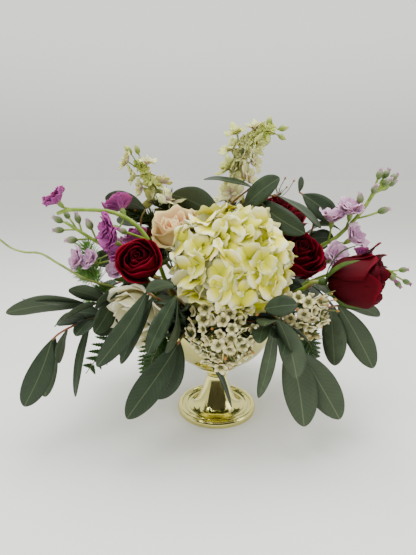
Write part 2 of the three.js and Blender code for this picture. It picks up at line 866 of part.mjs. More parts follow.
const SPRAYS = {
  stock_magenta: {
    colour: "magenta",
    stem: planted(
      -46,
      -10,
      [-60, -28, 178],
      [-70, -36, 212],
      [-88, -38, 240],
      [-114, -42, 255],
      [-152, -50, 258],
      [-168, -50, 254],
    ),
    radius: 3,
    heads: [
      ["stock", [-172, -52, 272], 15],
      ["stock", [-108, -26, 262], 15],
      ["stock", [-118, -50, 240], 14],
      ["stock", [-112, -60, 228], 13],
      ["stock", [-104, -56, 214], 13],
      ["stock", [-92, -20, 226], 14],
      ["stock", [-96, -40, 200], 13],
      ["bud", [-100, -62, 238], 9],
    ],
  },
  stock_lavender_left: {
    colour: "lavender",
    stem: planted(
      -62,
      0,
      [-86, -14, 180],
      [-106, -28, 206],
      [-130, -34, 220],
      [-150, -38, 234],
      [-164, -40, 244],
    ),
    radius: 2.4,
    heads: [
      ["bud", [-173, -42, 248], 10],
      ["bud", [-172, -46, 236], 10],
      ["bud", [-166, -30, 252], 9],
      ["bud", [-158, -50, 226], 11],
      ["bud", [-152, -36, 250], 10],
      ["bud", [-138, -44, 244], 11],
      ["stock", [-150, -52, 206], 13],
      ["stock", [-136, -56, 206], 11],
      ["stock", [-108, -44, 195], 13],
      ["stock", [-114, -2, 214], 13],
    ],
  },
  stock_lavender_right: {
    colour: "lavender",
    stem: planted(
      58,
      -4,
      [100, 4, 188],
      [120, -8, 212],
      [136, -14, 224],
      [158, -18, 250],
      [174, -20, 278],
      [180, -20, 286],
    ),
    radius: 2.8,
    heads: [
      ["bud", [184, -20, 296], 10],
      ["bud", [190, -28, 292], 10],
      ["bud", [174, -26, 296], 10],
      ["bud", [188, -12, 280], 9],
      ["bud", [168, -32, 280], 10],
      ["bud", [184, -26, 256], 11],
      ["bud", [156, -22, 270], 11],
      ["stock", [146, -26, 258], 15],
      ["stock", [128, -20, 248], 14],
      ["stock", [152, -28, 226], 14],
      ["stock", [130, -38, 206], 15],
    ],
  },
  stock_magenta_right: {
    colour: "magenta",
    stem: planted(62, 0, [118, 2, 170], [166, -8, 186], [192, -18, 187], [206, -20, 181]),
    radius: 2.2,
    heads: [
      ["bud", [220, -22, 172], 9],
      ["bud", [214, -24, 188], 9],
      ["bud", [208, -26, 170], 9],
      ["bud", [200, -28, 178], 10],
      ["stock", [176, 6, 200], 13],
      ["stock", [150, -8, 162], 13],
      ["stock", [132, 24, 190], 13],
    ],
  },
  larkspur_left: {
    colour: "larkspur",
    stem: planted(-26, 22, [-40, 34, 212], [-56, 32, 246], [-80, 30, 286], [-96, 30, 308]),
    radius: 1.9,
    heads: [
      ["bud", [-106, 30, 322], 11],
      ["bud", [-94, 22, 322], 10],
      ["star", [-112, 20, 312], 13],
      ["star", [-82, 24, 312], 11],
      ["star", [-106, 24, 292], 13],
      ["star", [-98, 26, 278], 13],
      ["star", [-66, 40, 290], 12],
      ["star", [-86, 42, 264], 14],
      ["star", [-54, 20, 270], 15],
      ["star", [-70, 48, 248], 14],
      ["star", [-50, 48, 242], 14],
    ],
  },
  larkspur_right: {
    colour: "larkspur",
    stem: planted(
      8,
      24,
      [18, 30, 230],
      [22, 20, 290],
      [30, 16, 322],
      [46, 12, 340],
      [62, 10, 342],
    ),
    radius: 1.9,
    heads: [
      ["bud", [74, 8, 344], 10],
      ["bud", [72, 4, 334], 9],
      ["bud", [58, 10, 352], 10],
      ["bud", [56, 2, 332], 10],
      ["star", [42, 10, 352], 11],
      ["star", [48, 0, 326], 12],
      ["star", [20, 10, 346], 13],
      ["star", [46, 6, 310], 14],
      ["star", [12, 12, 328], 14],
      ["star", [40, 8, 292], 14],
      ["star", [8, 16, 306], 14],
      ["star", [14, 4, 276], 15],
      ["star", [2, 24, 270], 14],
      ["star", [36, 38, 262], 14],
    ],
  },
  wax_flower_front: {
    colour: "wax",
    stem: planted(4, -60, [6, -84, 152], [6, -98, 150]),
    radius: 2,
    heads: [
      ...patch("wax", [5, -92, 141], [36, 24, 36], 20, 8.5, [0, -0.95, -0.3], 5),
    ],
  },
  wax_flower_right: {
    colour: "wax",
    stem: planted(32, -40, [62, -66, 162], [84, -80, 164], [100, -86, 162]),
    radius: 1.8,
    heads: [
      ...patch("wax", [86, -84, 156], [21, 18, 24], 10, 8, [0.1, -0.9, -0.4], 11),
      ["bud", [118, -98, 186], 6],
      ["bud", [112, -102, 176], 6],
      ["bud", [104, -106, 172], 6],
      ["bud", [116, -100, 164], 6],
    ],
  },
  wax_flower_left: {
    colour: "wax",
    stem: planted(-42, 22, [-84, 30, 208], [-104, 22, 242]),
    radius: 1.6,
    heads: [
      ["wax", [-106, 18, 258], 6],
      ["bud", [-114, 12, 250], 6],
      ["bud", [-116, 20, 262], 6],
    ],
  },
  wax_flower_top: {
    colour: "wax",
    stem: planted(38, 26, [66, 54, 232], [80, 48, 272]),
    radius: 1.6,
    heads: [
      ["bud", [84, 40, 289], 6],
      ["bud", [96, 44, 286], 6],
      ["wax", [74, 58, 280], 6],
      ["bud", [74, 38, 282], 6],
    ],
  },
};

const FERNS = {
  fern_left: [
    planted(-64, -16, [-96, -30, 124], [-120, -48, 112], [-146, -66, 80]),
    { pairs: 5, reach: 17, width: 10 },
  ],
  fern_front: [
    planted(-42, -50, [-58, -74, 126], [-68, -86, 108], [-76, -92, 86]),
    { pairs: 4, reach: 14, width: 10 },
  ],
  fern_right: [
    planted(54, -38, [82, -54, 130], [98, -60, 118], [108, -62, 94]),
    { pairs: 4, reach: 14, width: 9 },
  ],
  fern_back_left: [
    planted(-44, 44, [-76, 78, 140], [-100, 102, 124]),
    { pairs: 4, reach: 16, width: 11 },
  ],
  fern_back_right: [
    planted(44, 44, [78, 78, 142], [102, 102, 126]),
    { pairs: 4, reach: 16, width: 11 },
  ],
};

const RUNNER_STEM = planted(
  -64,
  -10,
  [-100, -44, 168],
  [-138, -62, 186],
  [-164, -66, 203],
  [-182, -68, 215],
  [-197, -71, 217],
  [-209, -74, 222],
  [-219, -77, 232],
);
const RUNNER = {
  branches: [
    [0.34, [-148, -26, 216]],
    [0.36, [-152, -30, 188]],
    [0.3, [-146, -32, 158]],
  ],
  needles: 7,
  length: 13,
  seed: 3,
};

// The parts, in the order in which they keep their shape: where a later one meets one before it,
// the later one is cut back.

const PARTS = [
  ["compote_foot", "gold", foot()],
  ["compote_collar", "gold", collar()],
  ["compote_bowl", "gold", bowl()],
  ["bowl_nut", "steel", nut()],
];
for (const [name, flower] of Object.entries(HYDRANGEAS)) PARTS.push([name, "cream", hydrangeaHead(flower)]);
for (const [name, rose] of Object.entries(ROSES)) PARTS.push([name, rose.colour, roseBloom(rose)]);
for (const [name, flower] of Object.entries(HYDRANGEAS)) {
  const inside = vec(flower.centre).addScaledVector(vec(flower.axis).normalize(), -flower.deep * 0.5);
  const path = [...flower.stem, inside.toArray()];
  PARTS.push([`${name}_stem`, "stem", (grow) => rod(path, 3.2, { sides: 6, steps: 4, grow })]);
}
for (const [name, rose] of Object.entries(ROSES)) PARTS.push([`${name}_stem`, "stem", roseStem(rose)]);
for (const [name, { colour, stem, radius, heads }] of Object.entries(SPRAYS)) {
  PARTS.push([name, colour, spray(stem, radius, heads)]);
}
for (const [name, [stem, leaves]] of Object.entries(EUCALYPTUS)) {
  PARTS.push([name, "eucalyptus", leafyStem(stem, 1.6, leaves)]);
}
BACK_BRANCHES.forEach(([turn, reach, height], k) => {
  const [stem, leaves] = backBranch(turn, reach, height, 31 + k);
  PARTS.push([`eucalyptus_back_${k + 1}`, "eucalyptus", leafyStem(stem, 1.6, leaves)]);
});
for (const [name, [stem, leaflets]] of Object.entries(FERNS)) {
  PARTS.push([name, "fern", frond(stem, 1.3, leaflets)]);
}
PARTS.push(["feather_fern_runner", "fern", featherShoot(RUNNER_STEM, 1.3, RUNNER)]);
PARTS.push(["foam_block", "foam", foamBlock()]);

const METALS = new Set(["gold", "steel"]);

function boxesMeet(a, b) {
  const p = a.boundingBox();
  const q = b.boundingBox();
  return [0, 1, 2].every((i) => p.min[i] <= q.max[i] && q.min[i] <= p.max[i]);
}

function largestBody(whole) {
  const bodies = whole.decompose();
  return bodies.reduce((best, one) => (one.volume() > best.volume() ? one : best));
}

function meshOf(name, solid, colour) {
  const { vertProperties, triVerts, numProp } = solid.getMesh();
  const place = new Float32Array((vertProperties.length / numProp) * 3);
  for (let i = 0; i < place.length / 3; i++) {
    place.set(vertProperties.subarray(i * numProp, i * numProp + 3), i * 3);
  }
  const geometry = new THREE.BufferGeometry();
  geometry.setAttribute("position", new THREE.BufferAttribute(place, 3));
  geometry.setIndex(new THREE.BufferAttribute(triVerts, 1));
  geometry.computeVertexNormals();
  const metal = METALS.has(colour);
  const material = new THREE.MeshStandardMaterial({
    color: COLOURS[colour],
    metalness: metal ? 1 : 0,
    roughness: metal ? 0.2 : 0.65,
  });
  const mesh = new THREE.Mesh(geometry, material);
  mesh.name = name;
  return mesh;
}

const centrepiece = new THREE.Group();
const earlier = [];
for (const [name, colour, make] of PARTS) {
  let own = make(0);
  for (const other of earlier) if (boxesMeet(own, other)) own = own.subtract(other);
  centrepiece.add(meshOf(name, largestBody(own), colour));
  earlier.push(make(GAP));
}

export default centrepiece;
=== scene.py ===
"""Looks of a flower arrangement in a footed metal bowl.

Each piece here is the finished form of one solid of the frame: the polished bowl, every bloom with its
layers of petals, every spray, leafy branch and frond. Places are in millimetres, +Z up, the front at -Y,
and turn to metres when a mesh is made.
"""

import math
import random

import bmesh
import bpy
import numpy as np
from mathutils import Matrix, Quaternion, Vector


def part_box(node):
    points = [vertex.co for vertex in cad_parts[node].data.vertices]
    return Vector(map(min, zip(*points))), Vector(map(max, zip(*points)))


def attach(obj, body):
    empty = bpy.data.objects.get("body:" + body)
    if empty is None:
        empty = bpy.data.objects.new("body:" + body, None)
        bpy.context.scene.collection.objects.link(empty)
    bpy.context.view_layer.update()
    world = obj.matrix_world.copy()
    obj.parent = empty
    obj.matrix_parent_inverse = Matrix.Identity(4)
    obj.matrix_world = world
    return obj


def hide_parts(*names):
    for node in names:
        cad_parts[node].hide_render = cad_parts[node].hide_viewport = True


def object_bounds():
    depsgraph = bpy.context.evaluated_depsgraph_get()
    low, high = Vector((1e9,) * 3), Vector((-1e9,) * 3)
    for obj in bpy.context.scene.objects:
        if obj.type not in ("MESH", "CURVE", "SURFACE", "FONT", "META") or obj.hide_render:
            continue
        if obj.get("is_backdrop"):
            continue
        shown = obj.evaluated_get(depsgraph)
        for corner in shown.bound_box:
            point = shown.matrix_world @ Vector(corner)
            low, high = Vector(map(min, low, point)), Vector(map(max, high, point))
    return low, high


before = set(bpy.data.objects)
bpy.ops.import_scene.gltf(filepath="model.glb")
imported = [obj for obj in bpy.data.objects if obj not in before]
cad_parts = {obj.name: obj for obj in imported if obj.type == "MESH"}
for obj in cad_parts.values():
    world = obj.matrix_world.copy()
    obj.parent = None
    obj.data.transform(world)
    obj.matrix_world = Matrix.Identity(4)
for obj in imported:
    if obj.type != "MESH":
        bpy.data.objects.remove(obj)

bl_info = {
    "name": "Flower Centrepiece",
    "version": (1, 0, 0),
    "blender": (4, 5, 0),
    "location": "View3D > Sidebar > Centrepiece",
    "description": "Builds the finished flowers, leaves and bowl of a table centrepiece",
    "category": "Object",
}

MM = 0.001
UP = np.array([0.0, 0.0, 1.0])
GOLDEN_ANGLE = math.pi * (3 - math.sqrt(5))
# The most that a random turn or phase may be, in radians
ANY_TURN = 6.3
CAD_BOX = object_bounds()

# The foam's top is a shallow dome. A stem goes into it by a depth, and its end leans towards the middle.
FOAM_CROWN = 145
FOAM_FALL = 10
FOAM_RADIUS = 69
STEM_DEPTH = 20
STEM_LEAN = 0.78


def planted(x, y, *onward):
    """A stem's points: its end in the foam, its place on the foam's top, and then onward."""
    top = FOAM_CROWN - FOAM_FALL * (x * x + y * y) / FOAM_RADIUS**2
    return [[STEM_LEAN * x, STEM_LEAN * y, top - STEM_DEPTH], [x, y, top], *onward]


# Roses: base is the foot of the bloom and axis the way it faces. spin turns it about that axis, in
# radians, and shade darkens all its petals with painted shade.
ROSES = {
    "rose_left": {
        "colour": "red", "habit": "closed", "radius": 21, "height": 37,
        "base": (-79, -66, 200), "axis": (-0.02, -0.84, 0.54),
        "stem": planted(-34, -30, [-56, -46, 176]),
    },
    "rose_blush": {
        "colour": "blush", "habit": "ruffled", "radius": 26, "height": 48,
        "base": (-42, 2, 210), "axis": (-0.22, -0.4, 0.89), "spin": 0.6,
        "stem": planted(-24, -2, [-34, 4, 178]),
    },
    "rose_right": {
        "colour": "red", "habit": "open", "radius": 29, "height": 46,
        "base": (81, -16, 191), "axis": (0.24, -0.7, 0.68), "spin": 0.9,
        "stem": planted(36, -8, [64, -2, 166]),
    },
    # This rose's shade paints all its petals darker, as painted shade.
    "rose_far_right": {
        "colour": "red", "habit": "cup", "radius": 25, "height": 58,
        "base": (111, -78, 188), "axis": (0.95, -0.28, 0.12), "shade": 0.6,
        "stem": planted(48, -26, [72, -52, 164], [92, -70, 180]),
    },
    "rose_behind": {
        "colour": "red", "habit": "open", "radius": 28, "height": 45,
        "base": (72, 10, 225), "axis": (0.04, -0.34, 0.94),
        "stem": planted(30, 10, [48, 18, 178]),
    },
    "rose_ivory": {
        "colour": "ivory", "habit": "ruffled", "radius": 29, "height": 40,
        "base": (-74, -56, 158), "axis": (-0.42, -0.84, -0.32), "spin": 0.3,
        "stem": planted(-46, -32, [-58, -40, 154]),
    },
    "rose_back_red": {
        "colour": "red", "habit": "open", "radius": 26, "height": 42,
        "base": (-72, 58, 188), "axis": (-0.5, 0.62, 0.6),
        "stem": planted(-34, 32, [-54, 46, 166]),
    },
    "rose_back_blush": {
        "colour": "blush", "habit": "ruffled", "radius": 27, "height": 44,
        "base": (66, 60, 190), "axis": (0.45, 0.64, 0.62),
        "stem": planted(34, 34, [50, 48, 168]),
    },
}

# Hydrangeas: across and deep are half the width and half the height of the head
HYDRANGEAS = {
    "hydrangea_front": {
        "centre": (14, -62, 208), "axis": (0.06, -0.66, 0.75), "across": 57, "deep": 39,
        "florets": 128, "seed": 7, "stem": planted(8, -20, [10, -30, 164]),
    },
    "hydrangea_back": {
        "centre": (-4, 66, 204), "axis": (0, 0.66, 0.75), "across": 42, "deep": 32,
        "florets": 80, "seed": 19, "stem": planted(-2, 32, [-3, 40, 166]),
    },
}

# Branches: the stem, then each leaf as share of the stem, tip, width, roll in degrees, arch and, in
# one case, sway
EUCALYPTUS = {
    "eucalyptus_left_reach": [
        planted(-60, -18, [-96, -46, 160], [-120, -62, 162], [-136, -70, 160]),
        [
            (1, (-209, -100, 162), 24, 60, 0.05),
            (0.94, (-198, -86, 172), 20, 30, -0.06),
            (0.86, (-162, -102, 148), 24, 40, 0.06),
            (0.74, (-150, -86, 182), 22, 50, 0.05),
            (0.66, (-126, -92, 138), 22, -60, 0.06),
        ],
    ],
    "eucalyptus_left_droop": [
        planted(-62, -26, [-104, -42, 138], [-136, -68, 144], [-160, -84, 137], [-172, -86, 128]),
        [
            (1, (-203, -97, 58), 26, -82, 0.04),
            (0.94, (-190, -74, 56), 24, 20, 0.05),
            (0.76, (-168, -82, 100), 18, 15, 0.05),
            (0.6, (-152, -88, 64), 13, -5, 0.05),
        ],
    ],
    "eucalyptus_front_left": [
        planted(-30, -48, [-56, -84, 168], [-70, -104, 184]),
        [
            (1, (-113, -136, 122), 20, -70, 0.1),
            (0.86, (-94, -122, 118), 13, -60, 0.08),
            (0.94, (-94, -128, 136), 13, -50, 0.05),
            (1, (-43, -118, 196), 20, -40, 0.05),
        ],
    ],
    "eucalyptus_front_centre": [
        planted(-20, -50, [-36, -84, 164], [-42, -104, 180]),
        [
            (1, (-67, -130, 132), 17, -55, 0.08),
            (0.94, (-50, -128, 132), 24, -100, 0.08),
        ],
    ],
    "eucalyptus_front_low": [
        planted(-24, -56, [-34, -78, 134], [-42, -94, 126]),
        [
            (1, (-90, -126, 62), 28, -55, 0.08),
            (0.92, (-62, -110, 74), 33, -62, 0.08),
            (0.8, (14, -92, 54), 13, 10, 0.04, -0.14),
        ],
    ],
    "eucalyptus_front_right": [
        planted(28, -54, [50, -88, 146], [56, -106, 158], [43, -109, 169]),
        [
            (0.76, (74, -124, 104), 28, -95, 0.08),
            (0.62, (42, -94, 66), 15, 10, 0.05),
            (1, (70, -128, 179), 20, 75, 0.04),
        ],
    ],
    "eucalyptus_right_low": [
        planted(42, -50, [58, -72, 136], [72, -88, 126], [84, -94, 118]),
        [
            (0.74, (87, -112, 44), 36, -122, 0.06),
            (1, (124, -108, 50), 34, -105, 0.06),
        ],
    ],
    "eucalyptus_right": [
        planted(60, -32, [100, -56, 150], [126, -70, 160]),
        [
            (0.9, (122, -84, 98), 28, -128, 0.06),
            (1, (159, -94, 100), 27, -100, 0.06),
            (0.96, (173, -64, 146), 24, -40, 0.08),
        ],
    ],
    "eucalyptus_top_right": [
        planted(20, 0, [22, 8, 204], [27, -4, 249], [42, -24, 268], [62, -38, 272]),
        [
            (1, (110, -42, 238), 24, 15, 0.04),
            (0.78, (88, -64, 235), 25, 75, 0.04),
            (0.64, (63, -46, 290), 27, 80, 0.05),
        ],
    ],
    "eucalyptus_top": [
        planted(-2, 6, [2, 16, 200], [8, 6, 250], [38, -10, 280]),
        [
            (1, (-16, -16, 288), 24, -15, 0.05),
            (0.7, (-54, 16, 270), 38, 70, 0.12),
        ],
    ],
    "eucalyptus_right_back": [
        planted(54, 12, [98, 24, 196], [116, 18, 230], [108, 8, 262], [94, 2, 274]),
        [
            (0.94, (138, 2, 242), 28, 70, 0.06),
            (0.56, (146, 38, 206), 26, 30, 0.06),
            (1, (97, 8, 291), 9, 60, 0.05),
        ],
    ],
    "eucalyptus_left_back": [
        planted(-52, 14, [-88, 16, 192], [-90, 4, 238], [-84, 2, 254]),
        [
            (1, (-128, -6, 268), 24, 55, 0.08),
            (0.5, (-152, -8, 196), 26, 75, 0.06),
            (0.7, (-122, 26, 236), 26, 30, 0.06),
        ],
    ],
}

# Branches round the back: turn in degrees, reach and height of the end
BACK_BRANCHES = [(20, 156, 152), (70, 142, 144), (110, 142, 146), (160, 156, 154)]
BACK_SEED = 31

# Sprays: radius is the stem's, and each head is its kind, centre and size. A spike sets florets along
# its stem: from and to a share of it, how many, and the size of the first and the last. Foliage sets
# needles in the same way, with their least and most length and their width. The heads of a patch face
# out over the front of an ellipsoid, and are worked out by a rule.
SPRAYS = {
    "stock_magenta": {
        "colour": "magenta",
        "stem": planted(
            -46, -10, [-60, -28, 178], [-70, -36, 212], [-88, -38, 240],
            [-114, -42, 255], [-152, -50, 258], [-168, -50, 254],
        ),
        "radius": 3,
        "heads": [
            ("stock", (-169, -52, 270), 13),
            ("stock", (-108, -26, 262), 15),
            ("stock", (-118, -50, 240), 14),
            ("stock", (-112, -60, 228), 13),
            ("stock", (-104, -56, 214), 13),
            ("stock", (-92, -20, 226), 14),
            ("stock", (-96, -40, 200), 13),
            ("bud", (-100, -62, 238), 9),
        ],
    },
    "stock_lavender_left": {
        "colour": "lavender",
        "stem": planted(
            -62, 0, [-86, -14, 180], [-106, -28, 206], [-130, -34, 220],
            [-150, -38, 234], [-164, -40, 244],
        ),
        "radius": 2.4,
        "heads": [
            ("bud", (-173, -42, 248), 10),
            ("bud", (-172, -46, 236), 10),
            ("bud", (-166, -30, 252), 9),
            ("bud", (-158, -50, 226), 11),
            ("bud", (-152, -36, 250), 10),
            ("bud", (-138, -44, 244), 11),
            ("stock", (-150, -52, 206), 13),
            ("stock", (-136, -56, 206), 11),
            ("stock", (-108, -44, 195), 13),
            ("stock", (-114, -2, 214), 13),
        ],
    },
    "stock_lavender_right": {
        "colour": "lavender",
        "stem": planted(
            58, -4, [100, 4, 188], [120, -8, 212], [136, -14, 224],
            [158, -18, 250], [174, -20, 278], [180, -20, 286],
        ),
        "radius": 2.8,
        "heads": [
            ("bud", (184, -20, 296), 10),
            ("bud", (190, -28, 292), 10),
            ("bud", (174, -26, 296), 10),
            ("bud", (188, -12, 280), 9),
            ("bud", (182, -30, 287), 10),
            ("bud", (193, -18, 285), 9),
            ("bud", (168, -32, 280), 10),
            ("bud", (184, -26, 256), 11),
            ("bud", (156, -22, 270), 11),
            ("stock", (146, -26, 258), 15),
            ("stock", (128, -20, 248), 14),
            ("stock", (152, -28, 226), 14),
            ("stock", (130, -38, 206), 15),
        ],
    },
    "stock_magenta_right": {
        "colour": "magenta",
        "stem": planted(62, 0, [118, 2, 170], [166, -8, 186], [192, -18, 187], [206, -20, 181]),
        "radius": 2.2,
        "heads": [
            ("bud", (220, -22, 172), 9),
            ("bud", (214, -24, 188), 9),
            ("bud", (208, -26, 170), 9),
            ("bud", (200, -28, 178), 10),
            ("stock", (176, 6, 200), 13),
            ("stock", (150, -8, 162), 13),
            ("stock", (132, 24, 190), 13),
        ],
    },
    "larkspur_left": {
        "colour": "larkspur",
        "spike": (0.58, 0.98, 17, 11, 6),
        "foliage": [(0.46, 0.66, 460, 12, 28, 1.8)],
        "stem": planted(-26, 22, [-40, 34, 212], [-56, 32, 246], [-80, 30, 286], [-96, 30, 308]),
        "radius": 1.9,
        "heads": [
            ("bud", (-106, 30, 322), 11),
            ("bud", (-94, 22, 322), 10),
            ("star", (-112, 20, 312), 13),
            ("star", (-82, 24, 312), 11),
            ("star", (-106, 24, 292), 13),
            ("star", (-98, 26, 278), 13),
            ("star", (-66, 40, 290), 12),
            ("star", (-86, 42, 264), 14),
            ("star", (-54, 20, 270), 15),
            ("star", (-70, 48, 248), 14),
            ("star", (-50, 48, 242), 14),
        ],
    },
    "larkspur_right": {
        "colour": "larkspur",
        "spike": (0.42, 0.98, 27, 10.5, 6),
        "foliage": [(0.22, 0.4, 140, 10, 22, 1.3)],
        "stem": planted(
            8, 24, [18, 30, 230], [22, 20, 290], [30, 16, 322], [46, 12, 340], [62, 10, 342],
        ),
        "radius": 1.9,
        "heads": [
            ("bud", (74, 8, 344), 10),
            ("bud", (72, 4, 334), 9),
            ("bud", (58, 10, 352), 10),
            ("bud", (56, 2, 332), 10),
            ("star", (42, 10, 350), 11),
            ("star", (48, 0, 326), 12),
            ("star", (20, 10, 346), 13),
            ("star", (46, 6, 310), 14),
            ("star", (12, 12, 328), 14),
            ("star", (40, 8, 292), 14),
            ("star", (8, 16, 306), 14),
            ("star", (14, 4, 276), 15),
            ("star", (2, 24, 270), 14),
            ("star", (36, 38, 262), 14),
        ],
    },
    "wax_flower_front": {
        "colour": "wax",
        "foliage": [(0.4, 1, 130, 12, 30, 1.3)],
        "stem": planted(4, -60, [6, -84, 152], [6, -98, 150]),
        "radius": 1.6,
        "patch": {"centre": (5, -92, 141), "reach": (37, 25, 37), "count": 62, "lean": (0, -0.95, -0.3)},
        "seed": 5,
        "heads": [],
    },
    "wax_flower_right": {
        "colour": "wax",
        "foliage": [(0.4, 1, 110, 10, 22, 1.2)],
        "stem": planted(32, -40, [62, -66, 162], [84, -80, 164], [100, -86, 162]),
        "radius": 1.6,
        "patch": {"centre": (83, -84, 156), "reach": (26, 18, 25), "count": 36, "lean": (0.1, -0.9, -0.4)},
        "seed": 11,
        "heads": [
            ("bud", (118, -98, 186), 6),
            ("bud", (112, -102, 176), 6),
            ("bud", (104, -106, 172), 6),
            ("bud", (116, -100, 164), 6),
            ("bud", (110, -96, 180), 5),
            ("bud", (98, -104, 178), 5),
        ],
    },
    "wax_flower_left": {
        "colour": "wax",
        "foliage": [(0.56, 1, 560, 8, 23, 1.8)],
        "stem": planted(-42, 22, [-66, 30, 208], [-78, 26, 236], [-104, 22, 250]),
        "radius": 1.2,
        "heads": [
            ("wax", (-106, 18, 258), 6),
            ("bud", (-114, 12, 250), 6),
            ("bud", (-116, 20, 262), 6),
            ("bud", (-98, 16, 252), 5),
            ("bud", (-92, 22, 240), 5),
        ],
    },
    "wax_flower_top": {
        "colour": "wax",
        "foliage": [(0.6, 1, 40, 5, 9, 1.0)],
        "stem": planted(38, 26, [66, 54, 232], [80, 48, 272]),
        "radius": 1.2,
        "heads": [
            ("bud", (84, 40, 289), 6),
            ("bud", (96, 44, 286), 6),
            ("wax", (74, 58, 280), 6),
            ("bud", (74, 38, 282), 6),
            ("bud", (88, 48, 278), 5),
        ],
    },
}

# Fronds: the rib, the longest pinna, its width and the roll of the whole frond, in degrees
FERNS = {
    "fern_left": [planted(-64, -16, [-96, -30, 124], [-120, -48, 112], [-146, -66, 80]), 20, 8, -55],
    "fern_front": [planted(-42, -50, [-58, -74, 126], [-68, -86, 108], [-76, -92, 86]), 18, 8, -40],
    "fern_right": [planted(54, -38, [82, -54, 130], [98, -60, 118], [108, -62, 94]), 18, 8, 55],
    "fern_back_left": [planted(-44, 44, [-76, 78, 140], [-100, 102, 124]), 20, 8, 0],
    "fern_back_right": [planted(44, 44, [78, 78, 142], [102, 102, 126]), 20, 8, 0],
}

# The feathery fern: its runner, then each short shoot as share of the runner and tip
RUNNER_STEM = planted(
    -64, -10, [-100, -44, 168], [-138, -62, 186], [-164, -66, 203],
    [-182, -68, 215], [-197, -71, 217], [-209, -74, 222], [-219, -77, 232],
)
RUNNER_BRANCHES = [(0.34, (-148, -26, 216)), (0.36, (-152, -30, 188)), (0.3, (-146, -32, 158))]


# Sizes and colours


def length(name, description, millimetres, least=0.1, most=200):
    return bpy.props.FloatProperty(
        name=name,
        description=description,
        default=millimetres * MM,
        min=least * MM,
        max=most * MM,
        unit="LENGTH",
    )


def colour(name, description, hex_colour):
    return bpy.props.FloatVectorProperty(
        name=name,
        description=description,
        default=linear(hex_colour),
        size=3,
        min=0,
        max=1,
        subtype="COLOR",
    )


def linear(hex_colour):
    """An sRGB hex colour as linear red, green and blue."""
    shares = [int(hex_colour[k : k + 2], 16) / 255 for k in (1, 3, 5)]
    return tuple(c / 12.92 if c <= 0.04045 else ((c + 0.055) / 1.055) ** 2.4 for c in shares)


def half_width(node):
    """Half the width of a solid of the frame, in millimetres."""
    low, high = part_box(node)
    return (high.x - low.x) / 2 / MM


class HolderSettings(bpy.types.PropertyGroup):
    """Sizes and colours of the footed bowl."""

    foot_radius: length("Foot radius", "Radius of the foot where it stands", half_width("compote_foot"))
    bowl_wall: length("Bowl wall", "Thickness of the bowl's metal", 1.6)
    metal: colour("Metal", "Tint of the polished plating", "#D8D184")
    foam: colour("Foam", "Colour of the wet foam", "#1F3A22")


class BloomSettings(bpy.types.PropertyGroup):
    """Sizes and colours of the flowers."""

    petal: length("Petal thickness", "Thickness of a petal", 0.35)
    floret: length("Hydrangea floret", "Radius of a hydrangea floret", 14.5)
    wax_flower: length("Wax flower", "Radius of an open wax flower", 6.8)
    cream: colour("Cream", "Open hydrangea petals", "#FBEC48")
    # The cream heart is the sepals' own green-yellow at their foot, deepened by painted shade where the
    # sepals meet.
    cream_heart_and_shade: colour("Cream heart", "Hydrangea petals near their centre", "#BAC21C")
    # The red rim is a painted highlight along the red petals' rims, and the deep red is painted shade at
    # their feet and in the roses' hearts.
    red: colour("Red", "Outer face of the red petals", "#5C0212")
    red_rim_highlight: colour("Red rim", "Rims of the red roses", "#900A28")
    red_painted_shade: colour("Deep red", "Hearts of the red roses", "#240005")
    blush: colour("Blush", "Blush rose petals", "#FFC6A2")
    ivory: colour("Ivory", "Ivory rose petals", "#F2EABE")
    magenta: colour("Magenta", "Magenta stock petals", "#A44C92")
    lavender: colour("Lavender", "Lavender stock petals", "#D2AFC8")
    larkspur: colour("Larkspur", "Larkspur petals", "#DEE09C")
    wax: colour("Wax", "Wax flower petals", "#DCD29C")


class FoliageSettings(bpy.types.PropertyGroup):
    """Sizes and colours of leaves and stems."""

    leaf: length("Leaf thickness", "Thickness of a eucalyptus leaf", 0.7)
    twig: length("Twig radius", "Radius of a eucalyptus twig", 1.5)
    leaf_face: colour("Leaf face", "Upper face of a eucalyptus leaf", "#33432C")
    leaf_under: colour("Leaf underside", "Underside of a eucalyptus leaf", "#4C5A42")
    stem: colour("Stem", "Stock and rose stems", "#6C8A22")
    fern: colour("Fern", "Fern fronds", "#2B4F1C")
    feather: colour("Feather fern", "Feathery fern", "#6CA232")
    runner: colour("Runner", "Long bare shoot of the feathery fern", "#93A34C")


class StageSettings(bpy.types.PropertyGroup):
    """The floor and the light."""

    floor: colour("Floor", "Colour of the floor", "#F0F0EC")
    sky: colour("Walls", "Colour of the white room round the table", "#F4F4EF")
    dark: colour("Dark side", "Colour of the room and the card behind the camera", "#26221E")
    key: bpy.props.FloatProperty(
        name="Key light",
        description="Power of the large light, in watts",
        default=16,
        min=0,
        unit="POWER",
    )
    room: bpy.props.FloatProperty(
        name="Room light",
        description="Strength of the light from the room",
        default=1.45,
        min=0,
    )


# Materials


def add(tree, kind, inputs=None, **settings):
    """Adds a node, sets it, and fills its inputs with values or links."""
    node = tree.nodes.new(kind)
    for name, value in settings.items():
        setattr(node, name, value)
    for name, value in (inputs or {}).items():
        if isinstance(value, bpy.types.NodeSocket):
            tree.links.new(value, node.inputs[name])
        else:
            node.inputs[name].default_value = value
    return node


def new_material(name):
    material = bpy.data.materials.new(name)
    material.use_nodes = True
    material.node_tree.nodes.clear()
    return material, material.node_tree


def opaque(rgb):
    return (*rgb, 1)


def shaded(material, inputs, height=None, depth=0.0, strength=1.0):
    """Closes a material with its surface shader, over bumps of a height that a pattern gives.

    depth is the height of the bumps in millimetres, and strength how much of it the light shows.
    """
    tree = material.node_tree
    if height is not None:
        relief = {"Height": height, "Strength": strength, "Distance": depth * MM}
        bump = add(tree, "ShaderNodeBump", relief)
        inputs = {**inputs, "Normal": bump.outputs["Normal"]}
    shader = add(tree, "ShaderNodeBsdfPrincipled", inputs)
    add(tree, "ShaderNodeOutputMaterial", {"Surface": shader.outputs["BSDF"]})
    return material


